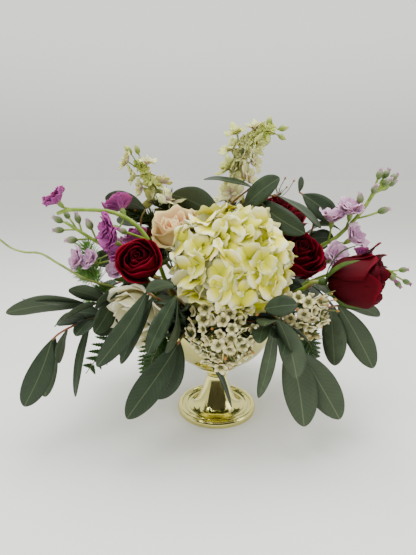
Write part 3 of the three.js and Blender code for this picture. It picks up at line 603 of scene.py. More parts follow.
def mottle(tree, width, **inputs):
    """A cloudy pattern that stays with the piece, in patches of a width in millimetres."""
    place = add(tree, "ShaderNodeTexCoord").outputs["Object"]
    inputs = {"Vector": place, "Scale": 1 / (width * MM), **inputs}
    return add(tree, "ShaderNodeTexNoise", inputs).outputs["Fac"]


def wave_scale(spacing):
    """The scale at which a wave texture, which has 20 radians of wave to its unit, repeats in a spacing."""
    return 2 * math.pi / (20 * spacing)


def darker(rgb, share):
    return [c * share for c in rgb]


def plated_metal(rgb):
    # Spun steel with a polished pale gold plating: a clear mirror, with faint rings left by the lathe,
    # and a little duller in smears 14 mm wide. The rings are drawn 0.8 mm apart, coarser than the real
    # ones, so that they show.
    material, tree = new_material("spun steel, polished gold plating")
    place = add(tree, "ShaderNodeTexCoord").outputs["Object"]
    rings = add(
        tree,
        "ShaderNodeTexWave",
        {"Vector": place, "Scale": wave_scale(0.8 * MM), "Distortion": 0.4, "Detail": 1.0},
        wave_type="RINGS",
        rings_direction="Z",
    )
    smears = {"Value": mottle(tree, 14, Detail=4), "To Min": 0.05, "To Max": 0.16}
    rough = add(tree, "ShaderNodeMapRange", smears).outputs["Result"]
    inputs = {"Base Color": opaque(rgb), "Metallic": 1.0, "Roughness": rough}
    return shaded(material, inputs, rings.outputs["Fac"], depth=0.02, strength=0.12)


def turned_nut():
    # Zinc-plated turned steel: dull grey, with fine mottling about 0.6 mm wide.
    material, tree = new_material("turned steel, zinc plated")
    spots = {"Value": mottle(tree, 0.6, Detail=3), "To Min": 0.3, "To Max": 0.5}
    rough = add(tree, "ShaderNodeMapRange", spots).outputs["Result"]
    return shaded(
        material, {"Base Color": opaque(linear("#B9B4A4")), "Metallic": 1.0, "Roughness": rough}
    )


def wet_foam(rgb):
    # Soaked phenolic foam: dark, matt, with open cells about 0.8 mm across.
    material, tree = new_material("phenolic foam, soaked")
    place = add(tree, "ShaderNodeTexCoord").outputs["Object"]
    cells = add(tree, "ShaderNodeTexVoronoi", {"Vector": place, "Scale": 1 / (0.8 * MM)})
    off_centre = cells.outputs["Distance"]
    mixed = {"Factor": off_centre, "A": opaque(rgb), "B": opaque(darker(rgb, 0.4))}
    shade = add(tree, "ShaderNodeMix", mixed, data_type="RGBA").outputs["Result"]
    inputs = {"Base Color": shade, "Roughness": 0.9}
    return shaded(material, inputs, off_centre, depth=0.4, strength=0.6)


# A point's lie on its petal or leaf: across from -1 to 1, along from 0 to 1, and the petal's tone


def lie_of(tree):
    """The lie, and its three parts."""
    lie = add(tree, "ShaderNodeAttribute", attribute_name="lie").outputs["Vector"]
    return lie, add(tree, "ShaderNodeSeparateXYZ", {"Vector": lie}).outputs


def painted(tree, under, over, where, low, high, least=0.0, most=1.0):
    """Lays a colour over another. Its share goes from least to most as a value goes from low to high."""
    share = add(
        tree,
        "ShaderNodeMapRange",
        {"Value": where, "From Min": low, "From Max": high, "To Min": least, "To Max": most},
        interpolation_type="SMOOTHSTEP",
    )
    below, above = [c if isinstance(c, bpy.types.NodeSocket) else opaque(c) for c in (under, over)]
    mixed = add(
        tree,
        "ShaderNodeMix",
        {"Factor": share.outputs["Result"], "A": below, "B": above},
        data_type="RGBA",
    )
    return mixed.outputs["Result"]


def petal_material(name, heart, body, rim, aged_and_shaded, half_mm, length_mm, look):
    """A thin living petal: heart, body and rim are its colours from foot to rim. The next colour is that of
    tone 0: age on some flowers, and painted shade on the red roses and the hydrangeas.
    """
    material, tree = new_material(name)
    lie, part = lie_of(tree)
    base = painted(tree, heart, body, part["Y"], 0.05, look["heart"])
    edged = painted(tree, base, rim, part["Y"], look["edge"], 1.0)
    # A low tone lays on the last colour: age on some flowers, painted shade on the red roses and
    # hydrangeas.
    toned = painted(tree, edged, aged_and_shaded, part["Z"], 0.0, 1.0, look["tone"], 0.0)
    # Squeezed along the petal, the pattern's waver is drawn out, so that the veins run long.
    squeeze = 0.16
    in_mm = add(
        tree,
        "ShaderNodeVectorMath",
        {0: lie, 1: (half_mm, length_mm * squeeze, 0)},
        operation="MULTIPLY",
    )
    veins = add(
        tree,
        "ShaderNodeTexWave",
        {
            "Vector": in_mm.outputs["Vector"],
            "Scale": wave_scale(look["vein"]),
            "Distortion": 2.5,
            "Detail": 2.0,
        },
        wave_type="BANDS",
        bands_direction="X",
    )
    streaked = painted(
        tree, toned, darker(body, 0.72), veins.outputs["Fac"], 0.0, 1.0, look["streak"], 0.0
    )
    inputs = {
        "Base Color": streaked,
        "Roughness": look["rough"],
        "Subsurface Weight": look["through"],
        "Subsurface Radius": (1.0, 0.6, 0.35),
        "Subsurface Scale": 1.5 * MM,
        "Sheen Weight": look["sheen"],
        "Sheen Roughness": 0.4,
        "Sheen Tint": opaque(rim),
        "Specular IOR Level": look["shine"],
    }
    return shaded(material, inputs, veins.outputs["Fac"], depth=look["relief"], strength=0.35)


# How petals look. The foot's colour fades out at heart and the rim's comes in from edge, as shares of
# the length. vein is the spacing of the veins and relief their height, in millimetres, streak how dark
# they are, tone how far a petal of tone 0 turns to its last colour, which is age on some flowers and
# painted shade on others, and through the light that passes.
SOFT = {
    "edge": 0.7, "heart": 0.5, "tone": 0.5, "vein": 1.1, "streak": 0.25, "relief": 0.12,
    "rough": 0.55, "through": 0.25, "sheen": 0.05, "shine": 0.2,
}
VELVET = {
    "edge": 0.85, "heart": 0.8, "tone": 0.8, "vein": 1.4, "streak": 0.3, "relief": 0.12,
    "rough": 0.55, "through": 0.0, "sheen": 0.0, "shine": 0.05,
}


def hydrangea_petal(look):
    # Hydrangea sepal: papery and matt, pale cream at its rim and green-yellow at its foot, partly its own
    # colour and partly painted shade where the sepals meet.
    # A low tone turns it a darker yellow-green, as painted shade on the sunk florets.
    settings = {
        **SOFT, "edge": 0.4, "heart": 0.75, "tone": 1.0, "streak": 0.4, "through": 0.1,
        "rough": 0.8, "sheen": 0.0, "shine": 0.04,
    }
    return petal_material(
        "hydrangea sepal, papery cream", look.cream_heart_and_shade, look.cream, linear("#FFFDE4"),
        linear("#A0A812"), half_mm=10, length_mm=16, look=settings,
    )


def faded_hydrangea_petal():
    # Hydrangea sepal at the edge of the head: nearly white, thin enough to let light through.
    settings = {
        **SOFT, "heart": 0.8, "tone": 0.5, "through": 0.2, "rough": 0.8, "sheen": 0.0, "shine": 0.04,
    }
    return petal_material(
        "hydrangea sepal, faded white", linear("#A8A85A"), linear("#C9C79A"), linear("#DEDCB8"),
        linear("#A3A46C"), half_mm=10, length_mm=16, look=settings,
    )


def red_rose_petal(look):
    # Red rose petal: deep velvet, with painted shade that makes it nearly black at its foot, on the inner
    # layers and in the heart, and a painted highlight along its rim.
    aged_and_shaded = darker(look.red_painted_shade, 0.5)
    return petal_material(
        "rose petal, crimson velvet", look.red_painted_shade, look.red, look.red_rim_highlight, aged_and_shaded,
        half_mm=14, length_mm=30, look=VELVET,
    )


def blush_rose_petal(look):
    # Blush rose petal: silky peach inside, with greener cream rims and outer petals.
    settings = {**SOFT, "tone": 1.0, "edge": 0.82}
    return petal_material(
        "rose petal, blush silk", linear("#E39A80"), look.blush, linear("#F2E6B4"),
        linear("#DDCC8E"), half_mm=14, length_mm=34, look=settings,
    )


def ivory_rose_petal(look):
    # Ivory rose petal: silky off-white, a little green at its foot.
    return petal_material(
        "rose petal, ivory silk", linear("#C5C890"), look.ivory, linear("#F8F4E4"),
        linear("#CFCFA4"), half_mm=14, length_mm=34, look=SOFT,
    )


def stock_petal(name, rgb):
    # Stock petal: soft and crumpled, with darker streaks, a paler foot and an aged purple.
    pale = [min(1, c * 1.2 + 0.1) for c in rgb]
    rim = [min(1, c * 1.2) for c in rgb]
    aged_and_shaded = [rgb[0] * 0.5, rgb[1] * 0.22, rgb[2] * 0.45]
    settings = {**SOFT, "heart": 0.35, "streak": 0.6, "vein": 1.6, "tone": 0.75}
    return petal_material(name, pale, rgb, rim, aged_and_shaded, half_mm=6, length_mm=12, look=settings)


def larkspur_petal(look):
    # Larkspur petal: thin and pale, dusty pink at its foot, and greener when young.
    settings = {**SOFT, "heart": 0.7, "tone": 0.95, "streak": 0.4}
    return petal_material(
        "larkspur petal, pale and thin", linear("#C8A0B6"), look.larkspur, linear("#EEF0BC"),
        linear("#AFBE4A"), half_mm=4, length_mm=12, look=settings,
    )


def wax_petal(look):
    # Wax flower petal: thick, waxy and white, with a faint green flush and a soft gloss.
    settings = {**SOFT, "heart": 0.6, "tone": 0.6, "rough": 0.36, "shine": 0.5, "streak": 0.1}
    return petal_material(
        "wax flower petal, waxy white", linear("#70742A"), look.wax, linear("#F4EFD0"),
        linear("#CFC08E"), half_mm=3, length_mm=6, look=settings,
    )


def leaf_material(name, face, rib, half_mm, length_mm, rough):
    """A leathery leaf with a pale midrib, side veins 4.5 mm apart that leave it at a slant, and a wax
    bloom that lies in patches 11 mm wide."""
    material, tree = new_material(name)
    part = lie_of(tree)[1]
    away = add(tree, "ShaderNodeMath", {0: part["X"]}, operation="ABSOLUTE").outputs["Value"]
    along_mm = add(
        tree, "ShaderNodeMath", {0: part["Y"], 1: length_mm}, operation="MULTIPLY"
    ).outputs["Value"]
    slant = -0.9 * half_mm
    slanted = add(
        tree, "ShaderNodeMath", {0: away, 1: slant, 2: along_mm}, operation="MULTIPLY_ADD"
    ).outputs["Value"]
    on_leaf = add(tree, "ShaderNodeCombineXYZ", {"X": slanted, "Y": away, "Z": part["Z"]})
    veins = add(
        tree,
        "ShaderNodeTexWave",
        {
            "Vector": on_leaf.outputs["Vector"],
            "Scale": wave_scale(4.5),
            "Distortion": 1.2,
            "Detail": 2.0,
        },
        wave_type="BANDS",
        bands_direction="X",
    ).outputs["Fac"]
    bloom = mottle(tree, 11, Detail=5, Roughness=0.6)
    dark = darker(face, 0.62)
    mottled = painted(tree, dark, face, bloom, 0.35, 0.7)
    toned = painted(tree, mottled, dark, part["Z"], 0.0, 1.0, 0.0, 0.8)
    veined = painted(tree, toned, rib, veins, 0.9, 1.0, 0.0, 0.05)
    ribbed = painted(tree, veined, rib, away, 0.06, 0.01, 0.0, 0.28)
    gloss = add(
        tree,
        "ShaderNodeMapRange",
        {
            "Value": bloom,
            "From Min": 0.3,
            "From Max": 0.7,
            "To Min": rough - 0.08,
            "To Max": rough + 0.1,
        },
        interpolation_type="SMOOTHSTEP",
    ).outputs["Result"]
    # The veins are sunk a little into the uneven face.
    height = add(
        tree, "ShaderNodeMath", {0: veins, 1: -0.12, 2: bloom}, operation="MULTIPLY_ADD"
    ).outputs["Value"]
    inputs = {"Base Color": ribbed, "Roughness": gloss, "Specular IOR Level": 0.25}
    return shaded(material, inputs, height, depth=0.3, strength=0.35)


def eucalyptus_face(look):
    # Eucalyptus leaf, upper face: leathery dark green with a dull wax bloom and a paler midrib.
    return leaf_material(
        "eucalyptus leaf, waxy face", look.leaf_face, linear("#75835C"),
        half_mm=14, length_mm=75, rough=0.5,
    )


def eucalyptus_under(look):
    # Eucalyptus leaf, underside: the same leaf with a thicker, greyer bloom.
    return leaf_material(
        "eucalyptus leaf, grey underside", look.leaf_under, linear("#808C6A"),
        half_mm=14, length_mm=75, rough=0.62,
    )


def fern_leaf(look):
    # Leatherleaf fern: glossy dark green with a lighter rib.
    return leaf_material(
        "leatherleaf fern, glossy", look.fern, linear("#6E8A3A"),
        half_mm=4, length_mm=15, rough=0.42,
    )


def sepal_leaf():
    # Rose sepal and hip: fresh green, a little downy.
    return leaf_material(
        "rose sepal, downy green", linear("#41591E"), linear("#6E8238"),
        half_mm=3, length_mm=20, rough=0.6,
    )


def stem_material(name, rgb, other, rough=0.45):
    """A round living stem: a fine grain, and patches of a second colour about 9 mm wide."""
    material, tree = new_material(name)
    shade = painted(tree, rgb, other, mottle(tree, 9, Detail=3), 0.35, 0.65)
    grain = mottle(tree, 1.2, Detail=2)
    inputs = {"Base Color": shade, "Roughness": rough}
    return shaded(material, inputs, grain, depth=0.15, strength=0.3)


def bud_material(name, foot, tip, rough=0.5):
    """A closed bud whose colour changes from its foot to its tip, with ribs 1.5 mm apart round it."""
    material, tree = new_material(name)
    lie, part = lie_of(tree)
    shade = painted(tree, foot, tip, part["Y"], 0.35, 0.85)
    toned = painted(tree, shade, darker(foot, 0.5), part["Z"], 0.0, 1.0, 0.4, 0.0)
    half_girth_mm = 6
    in_mm = add(
        tree, "ShaderNodeVectorMath", {0: lie, 1: (half_girth_mm, 1, 1)}, operation="MULTIPLY"
    )
    ribs = add(
        tree,
        "ShaderNodeTexWave",
        {"Vector": in_mm.outputs["Vector"], "Scale": wave_scale(1.5), "Distortion": 1.0},
        wave_type="BANDS",
        bands_direction="X",
    )
    inputs = {"Base Color": toned, "Roughness": rough}
    return shaded(material, inputs, ribs.outputs["Fac"], depth=0.15, strength=0.4)


# Modelling


def deselect():
    bpy.ops.object.select_all(action="DESELECT")


def mix(a, b, t):
    """The value at a share of the way from a to b."""
    return a + (b - a) * t


def unit(v):
    v = np.asarray(v, float)
    return v / np.linalg.norm(v)


def smoothstep(x, low, high):
    t = np.clip((x - low) / (high - low), 0, 1)
    return t * t * (3 - 2 * t)


def turned_about(v, axis, angle):
    """v turned about a unit axis, in radians. The angle may be an array, for one turn each."""
    angle = np.asarray(angle)[..., None]
    kept = axis * np.dot(v, axis) * (1 - np.cos(angle))
    return v * np.cos(angle) + np.cross(axis, v) * np.sin(angle) + kept


def facing(axis, spin=0.0):
    """The turn that brings +Z to an axis, after a spin about +Z, as a matrix."""
    turn = Vector(UP).rotation_difference(Vector(axis)) @ Quaternion(UP, spin)
    return np.array(turn.to_matrix())


def on_ball(polar, turn):
    """A point of the unit ball at an angle from +Z and a turn about it."""
    level = math.sin(polar)
    return np.array([level * math.cos(turn), level * math.sin(turn), math.cos(polar)])


def swung(out, side, z, turn):
    """Points at distances out and to the side, swung about +Z."""
    c, s = math.cos(turn), math.sin(turn)
    return np.stack([out * c - side * s, out * s + side * c, z], 1)


def wrapped(r, turn, z):
    """Points at a radius, a turn about +Z and a height."""
    return np.stack([r * np.cos(turn), r * np.sin(turn), z], 1)


def spaced(k, count, start, slack, draw):
    """The turn of one of several petals round an axis, at most a slack from its even place."""
    return 2 * math.pi * k / count + start + draw.uniform(-slack, slack)


def smooth(points, shares):
    """Points of the Catmull-Rom curve through a list of points, at shares of its spans."""
    knots = np.array(points, float)
    knots = np.vstack([2 * knots[0] - knots[1], knots, 2 * knots[-1] - knots[-2]])
    spans = len(points) - 1
    made = []
    for share in np.atleast_1d(shares):
        place = min(max(share, 0), 1) * spans
        k = min(int(place), spans - 1)
        t = place - k
        a, b, c, d = knots[k : k + 4]
        bend = (c - a) * t + (2 * a - 5 * b + 4 * c - d) * t**2 + (3 * b - a - 3 * c + d) * t**3
        made.append(b + 0.5 * bend)
    return np.array(made)


def along_stem(points, step=7):
    """A smooth stem's points, about a step apart, in millimetres."""
    reach = sum(math.dist(a, b) for a, b in zip(points, points[1:]))
    return smooth(points, np.linspace(0, 1, max(4, int(reach / step))))


def nearest(line, place):
    return line[np.argmin(np.linalg.norm(line - place, axis=1))]


def select_only(mesh, edit, numbers):
    """Selects the vertices with these numbers in edit mode."""
    wanted = set(numbers)
    for vertex in edit.verts:
        vertex.select = vertex.index in wanted
    edit.select_flush_mode()
    bmesh.update_edit_mesh(mesh)


class Shape:
    """A modelled shape to copy: its points, its faces, and where each point lies on it."""

    def __init__(self, points, faces, lie):
        self.points = points
        self.faces = faces
        self.lie = lie


def shape_of(made, lie=None):
    """Takes a finished object out of the scene as a shape. A point's lie is its place, or worked out."""
    mesh = made.data
    points = np.array([v.co for v in mesh.vertices])
    faces = [list(face.vertices) for face in mesh.polygons]
    bpy.data.objects.remove(made)
    bpy.data.meshes.remove(mesh)
    return Shape(points, faces, points if lie is None else lie(points))


def blank(columns, rows, narrow, crown=None, ease_in=False):
    """A flat petal or leaf, 1 long from its foot at the origin and up to 1 each way across.

    narrow gives half its width at a share of its length; crown gives its length at a share across.
    ease_in sets the rows closer together towards the tip, for a round end.
    """
    least_width = 1e-5
    deselect()
    bpy.ops.mesh.primitive_grid_add(x_subdivisions=columns, y_subdivisions=rows, size=2)
    sheet = bpy.context.object
    mesh = sheet.data
    bpy.ops.object.mode_set(mode="EDIT")
    bpy.ops.mesh.select_all(action="SELECT")
    bpy.ops.transform.resize(value=(1, 0.5, 1), center_override=(0, 0, 0))
    bpy.ops.transform.translate(value=(0, 0.5, 0))
    edit = bmesh.from_edit_mesh(mesh)
    row_of = {v.index: round(v.co.y * rows) for v in edit.verts}
    column_of = {v.index: round((v.co.x + 1) * columns / 2) for v in edit.verts}
    for row in range(rows + 1):
        share = math.sin(row / rows * math.pi / 2) if ease_in else row / rows
        select_only(mesh, edit, [i for i in row_of if row_of[i] == row])
        bpy.ops.transform.translate(value=(0, share - row / rows, 0))
        width = max(narrow(share), least_width)
        bpy.ops.transform.resize(value=(width, 1, 1), center_override=(0, share, 0))
    if crown:
        for column in range(columns + 1):
            select_only(mesh, edit, [i for i in column_of if column_of[i] == column])
            reach = crown(2 * column / columns - 1)
            bpy.ops.transform.resize(value=(1, reach, 1), center_override=(0, 0, 0))
    bpy.ops.mesh.select_all(action="SELECT")
    bpy.ops.mesh.remove_doubles(threshold=1e-4)
    bpy.ops.object.mode_set(mode="OBJECT")
    return shape_of(sheet)


def bulb(sides, rings, radius_at):
    """A closed round body 1 long up +Z from the origin, with a radius for each share of its length."""
    deselect()
    bpy.ops.mesh.primitive_uv_sphere_add(segments=sides, ring_count=rings, radius=0.5)
    body = bpy.context.object
    mesh = body.data
    bpy.ops.object.mode_set(mode="EDIT")
    bpy.ops.mesh.select_all(action="SELECT")
    bpy.ops.transform.translate(value=(0, 0, 0.5))
    edit = bmesh.from_edit_mesh(mesh)
    heights = sorted({round(v.co.z, 4) for v in edit.verts})
    ring_of = {v.index: heights.index(round(v.co.z, 4)) for v in edit.verts}
    for ring, height in enumerate(heights[1:-1], 1):
        select_only(mesh, edit, [i for i in ring_of if ring_of[i] == ring])
        of_sphere = math.sqrt(height * (1 - height))
        value = radius_at(height) / of_sphere
        bpy.ops.transform.resize(value=(value, value, 1), center_override=(0, 0, height))
    bpy.ops.object.mode_set(mode="OBJECT")

    def lie(points):
        turn = np.arctan2(points[:, 1], points[:, 0]) / math.pi
        return np.stack([turn, points[:, 2], turn * 0], 1)

    return shape_of(body, lie)


def broadens(foot, until, power=1):
    """Half a petal's width along it: from a narrow foot to its full width at a share of its length."""
    return lambda v: mix(foot, 1, math.sin(min(v / until, 1) * math.pi / 2) ** power)


def rounded_off(drop, power):
    """A petal's length across it: its corners are shorter than its middle by a drop."""
    return lambda x: 1 - drop * abs(x) ** power


def needle_shape():
    """A needle leaf, thickest near its foot and pointed at its end."""
    return bulb(3, 4, lambda h: 0.5 * math.sin(math.pi * mix(0.2, 1, h)))


class Copies:
    """Copies of shapes, each with points of its own, gathered for one piece."""

    def __init__(self):
        self.points = []
        self.lie = []
        self.faces = []
        self.finish = []
        self.count = 0

    def add(self, shape, points, tone, finish=0):
        self.points.append(points)
        lie = shape.lie.copy()
        lie[:, 2] = tone
        self.lie.append(lie)
        self.faces += [[i + self.count for i in face] for face in shape.faces]
        self.finish += [finish] * len(shape.faces)
        self.count += len(points)

    def as_object(self, name, materials, thickness=None, under=0):
        """Makes the mesh. A thickness in millimetres turns thin sheets into closed solids.

        under is how many materials further on in the list the underside's is.
        """
        mesh = bpy.data.meshes.new(name)
        mesh.from_pydata((np.vstack(self.points) * MM).tolist(), [], self.faces)
        mesh.attributes.new("lie", "FLOAT_VECTOR", "POINT")
        lies = np.vstack(self.lie).astype(np.float32)
        mesh.attributes["lie"].data.foreach_set("vector", lies.ravel())
        for material in materials:
            mesh.materials.append(material)
        mesh.polygons.foreach_set("material_index", self.finish)
        made = bpy.data.objects.new(name, mesh)
        bpy.context.scene.collection.objects.link(made)
        if thickness:
            deselect()
            made.select_set(True)
            bpy.context.view_layer.objects.active = made
            wall = made.modifiers.new("Thickness", "SOLIDIFY")
            wall.thickness = thickness * MM
            wall.offset = 0
            wall.material_offset = under
            bpy.ops.object.modifier_apply(modifier=wall.name)
        return made


def stems(name, rods, material, round_off=2):
    """Round stems drawn as bevelled curves. Each rod is its points, root radius and tip radius, in mm."""
    deselect()
    bpy.ops.curve.primitive_bezier_curve_add()
    made = bpy.context.object
    made.name = name
    drawn = made.data
    drawn.splines.clear()
    drawn.dimensions = "3D"
    for points, root, tip in rods:
        spline = drawn.splines.new("POLY")
        spline.points.add(len(points) - 1)
        for k, place in enumerate(points):
            spline.points[k].co = (*[c * MM for c in place], 1)
            spline.points[k].radius = mix(root, tip, k / (len(points) - 1))
    drawn.bevel_depth = MM
    drawn.bevel_resolution = round_off
    drawn.use_fill_caps = True
    drawn.materials.append(material)
    bpy.ops.object.convert(target="MESH")
    bpy.ops.object.mode_set(mode="EDIT")
    bpy.ops.mesh.select_all(action="SELECT")
    bpy.ops.mesh.remove_doubles(threshold=1e-6)
    bpy.ops.mesh.normals_make_consistent(inside=False)
    bpy.ops.object.mode_set(mode="OBJECT")
    return bpy.context.object


def turned(name, profile, filled, segments=96):
    """A body of revolution, drawn up ring by ring from a circle through (radius, height) points."""
    deselect()
    radius, height = profile[0]
    bpy.ops.mesh.primitive_circle_add(
        vertices=segments,
        radius=radius * MM,
        location=(0, 0, height * MM),
        fill_type="NGON" if filled else "NOTHING",
    )
    bpy.ops.object.transform_apply(location=True, rotation=False, scale=False)
    made = bpy.context.object
    made.name = name
    bpy.ops.object.mode_set(mode="EDIT")
    bpy.ops.mesh.select_all(action="SELECT")
    for (r0, z0), (r1, z1) in zip(profile, profile[1:]):
        bpy.ops.mesh.extrude_region_move(TRANSFORM_OT_translate={"value": (0, 0, (z1 - z0) * MM)})
        bpy.ops.transform.resize(value=(r1 / r0, r1 / r0, 1), center_override=(0, 0, z1 * MM))
    bpy.ops.mesh.select_all(action="SELECT")
    bpy.ops.mesh.remove_doubles(threshold=1e-6)
    bpy.ops.mesh.normals_make_consistent(inside=False)
    bpy.ops.object.mode_set(mode="OBJECT")
    return made


def dress(name, node, parts, crease=None):
    """Joins finished parts into the piece that stands for one solid of the frame.

    crease is the angle, in degrees, past which an edge stays sharp.
    """
    deselect()
    for part in parts:
        part.select_set(True)
    bpy.context.view_layer.objects.active = parts[0]
    if len(parts) > 1:
        bpy.ops.object.join()
    piece = bpy.context.object
    piece.name = name
    piece.data.name = name
    if crease is None:
        bpy.ops.object.shade_smooth()
    else:
        bpy.ops.object.shade_smooth_by_angle(angle=math.radians(crease))
    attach(piece, "root")
    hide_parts(node)
    return piece


# The holder, in millimetres. The foot's stud goes up through the collar and the bowl into the nut.
STUD_RADIUS = 4
STUD_TOP = 65.6
BORE_RADIUS = 4.4
BOWL_FLOOR = [(14, 59), (24, 63)]
BOWL_SIDE = [(31, 66.4), (42, 73), (55, 84), (66, 99), (72.5, 114), (75, 128)]
BOWL_BOTTOM = 59


def arc(centre, radius, start, end, steps=6):
    """Points of an arc in a profile, in degrees from the outward direction."""
    turns = np.radians(np.linspace(start, end, steps + 1))
    return [(centre[0] + radius * math.cos(a), centre[1] + radius * math.sin(a)) for a in turns]


def foot_profile(radius):
    """The foot from its edge inwards: rounded edge, bead, groove, ring, neck and stud."""
    neck_points = [(35, 5.4), (29.5, 8.4), (24, 15), (18, 28), (13.2, 42), (12, 47)]
    neck = smooth(neck_points, np.linspace(0, 1, 36))
    return [
        (radius - 0.5, 0),
        *arc((radius - 7, 2.6), 7, -16, 33, 6),
        (radius - 1.4, 6.6),
        *arc((radius - 2.8, 6.5), 1.4, 10, 90, 4),
        (radius - 4.6, 7.8),
        (radius - 5.6, 7.6),
        (radius - 6.1, 6.9),
        *arc((radius - 7.9, 6.6), 1.4, 20, 150, 5),
        (radius - 10, 6.2),
        (radius - 12.6, 5.4),
        *[tuple(p) for p in neck],
        (STUD_RADIUS, 47.1),
        (STUD_RADIUS, STUD_TOP),
    ]


def collar_profile():
    """The collar round the stud: a rounded bead below a waist that widens under the bowl."""
    return [
        (BORE_RADIUS, 47.6),
        *arc((11.6, 48.9), 1.3, -80, 70),
        (11.5, 50.8),
        (11.2, 53),
        (11.4, 56.5),
        (12.5, 58.4),
        (BORE_RADIUS, 58.5),
        (BORE_RADIUS, 47.6),
    ]


def bowl_profile(wall):
    """The bowl's outside up to its rolled rim, then its inside, a wall thickness away."""
    side = [tuple(p) for p in smooth(BOWL_SIDE, np.linspace(0, 1, 40))]
    step = arc((28.4, 64.6), 1.3, 250, 350, 5)
    outside = [BOWL_FLOOR[0], (22, 61.4), (26.5, 63.2), *step, *side]
    inside = [(r - wall, z + 0.8 * wall) for r, z in reversed([*BOWL_FLOOR, *side[:-1]])]
    rim = arc((75, 128.9), 1.2, -30, 190, 8)
    inner_bottom = 60.3
    bore = [(BORE_RADIUS, inner_bottom), (BORE_RADIUS, BOWL_BOTTOM)]
    return [(BORE_RADIUS, BOWL_BOTTOM), *outside, *rim, *inside, *bore]


class SpinCompote(bpy.types.Operator):
    """Turns the foot, the collar and the bowl, and gives the nut and the foam their finish"""

    bl_idname = "centrepiece.spin_compote"
    bl_label = "Footed bowl"

    def execute(self, context):
        look = context.scene.centrepiece_holder
        metal = plated_metal(look.metal)
        bodies = {
            "compote_foot": ("foot_turned", foot_profile(look.foot_radius / MM), True),
            "compote_collar": ("collar_turned", collar_profile(), False),
            "compote_bowl": ("bowl_spun", bowl_profile(look.bowl_wall / MM), False),
        }
        for node, (name, profile, filled) in bodies.items():
            made = turned(name, profile, filled)
            made.data.materials.append(metal)
            dress(name, node, [made], crease=38)
        finishes = {"bowl_nut": turned_nut(), "foam_block": wet_foam(look.foam)}
        for node, finish in finishes.items():
            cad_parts[node].data.materials.clear()
            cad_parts[node].data.materials.append(finish)
        return {"FINISHED"}


# Flowers


def floret_petal(shape, reach, wide, turn, lift, bend, draw):
    """A broad ruffled petal of a flat flower that faces up: it leaves the middle at a turn.

    lift is how steeply it rises and bend how that changes along it; waves and a fold make it uneven.
    """
    x, v = shape.points[:, 0], shape.points[:, 1]
    ripple = draw.uniform(0.06, 0.22)
    fold = draw.uniform(-0.3, 0.3)
    phase = draw.uniform(0, ANY_TURN)
    broad_wave = ripple * np.sin(2.6 * x + phase) * v
    fine_wave = 0.08 * np.sin(7 * x + 5 * v + phase) * v * v
    z = reach * (lift * v + bend * v * v)
    z += reach * (broad_wave + fine_wave)
    z += wide * fold * np.abs(x) ** 1.5 * v
    return swung(reach * v, wide * x, z, turn)


# How much of a ball a hydrangea's florets cover, as the height of the cap over its radius
HEAD_COVER = 1.45


def hydrangea_head(copies, sepal, flower, floret):
    """Crowds florets of four sepals all over a dome, every third of them deeper and darker with painted
    shade.
    """
    draw = random.Random(flower["seed"])
    own = facing(flower["axis"])
    centre = np.array(flower["centre"])
    stretch = np.array([flower["across"], flower["across"], flower["deep"]])
    count = flower["florets"]
    for k in range(count):
        polar = math.acos(1 - (k + 0.5) / count * HEAD_COVER)
        out = on_ball(polar, k * GOLDEN_ANGLE)
        sunk = k % 3 == 2
        depth = draw.uniform(0.72, 0.82) if sunk else draw.uniform(0.87, 0.99)
        spot = centre + own @ (out * stretch * depth)
        lean = unit(out / stretch) + np.array([draw.uniform(-0.5, 0.5) for _ in range(3)])
        # Low on the left some florets have faded. They face more the way the whole head does.
        faded = polar > 0.9 and out[0] < -0.35 and draw.random() < 0.3
        if faded:
            lean[2] += 0.9
        turned_out = facing(own @ unit(lean), draw.uniform(0, ANY_TURN))
        reach = floret * draw.uniform(0.9, 1.25)
        # Sunk florets get a low tone, which paints them with shade deep in the head.
        tone = draw.uniform(0.0, 0.3) if sunk else draw.uniform(0.4, 1.0)
        for petal in range(4):
            turn = spaced(petal, 4, 0, 0.2, draw)
            # The sepals overlap: every other one stands a little higher.
            lift = draw.uniform(0.0, 0.8) + (0.06 if petal % 2 else 0)
            bend = draw.uniform(-0.6, 0.25)
            flat = floret_petal(sepal, reach, reach * 0.6, turn, lift, bend, draw)
            copies.add(sepal, spot + flat @ turned_out.T, tone, 1 if faded else 0)


class GrowHydrangeas(bpy.types.Operator):
    """Covers both hydrangea heads with four-sepalled florets, and draws their stems"""

    bl_idname = "centrepiece.grow_hydrangeas"
    bl_label = "Hydrangeas"

    def execute(self, context):
        look = context.scene.centrepiece_blooms
        sepal = blank(
            8, 6, broadens(0.16, 0.62, 1.3), lambda x: mix(0.58, 1, math.sqrt(max(1 - x * x, 0)))
        )
        ball = bulb(6, 4, lambda h: math.sqrt(h * (1 - h)))
        petals = [hydrangea_petal(look), faded_hydrangea_petal()]
        heart = bud_material("hydrangea core, yellow green", linear("#6E7A22"), linear("#B4B84A"))
        green = stem_material("hydrangea stem, green wood", linear("#5E7A2A"), linear("#7D7A3A"))
        for name, flower in HYDRANGEAS.items():
            florets = Copies()
            hydrangea_head(florets, sepal, flower, look.floret / MM)
            core = Copies()
            own = facing(flower["axis"])
            # The core fills 0.78 of the head, so that no gap between florets shows through.
            size = np.array([flower["across"], flower["across"], flower["deep"]]) * 2 * 0.78
            points = (ball.points - [0, 0, 0.5]) * size
            core.add(ball, np.array(flower["centre"]) + points @ own.T, 0.6)
            parts = [
                florets.as_object(name, petals, look.petal / MM),
                core.as_object(f"{name}_core", [heart]),
            ]
            dress(f"{name}_head", name, parts)
            inside = np.array(flower["centre"]) - unit(flower["axis"]) * flower["deep"] * 0.5
            path = along_stem([*flower["stem"], inside.tolist()])
            stem = stems(f"{name}_stalk", [(path, 3.1, 3.3)], green)
            dress(f"{name}_stalk", f"{name}_stem", [stem])
        return {"FINISHED"}


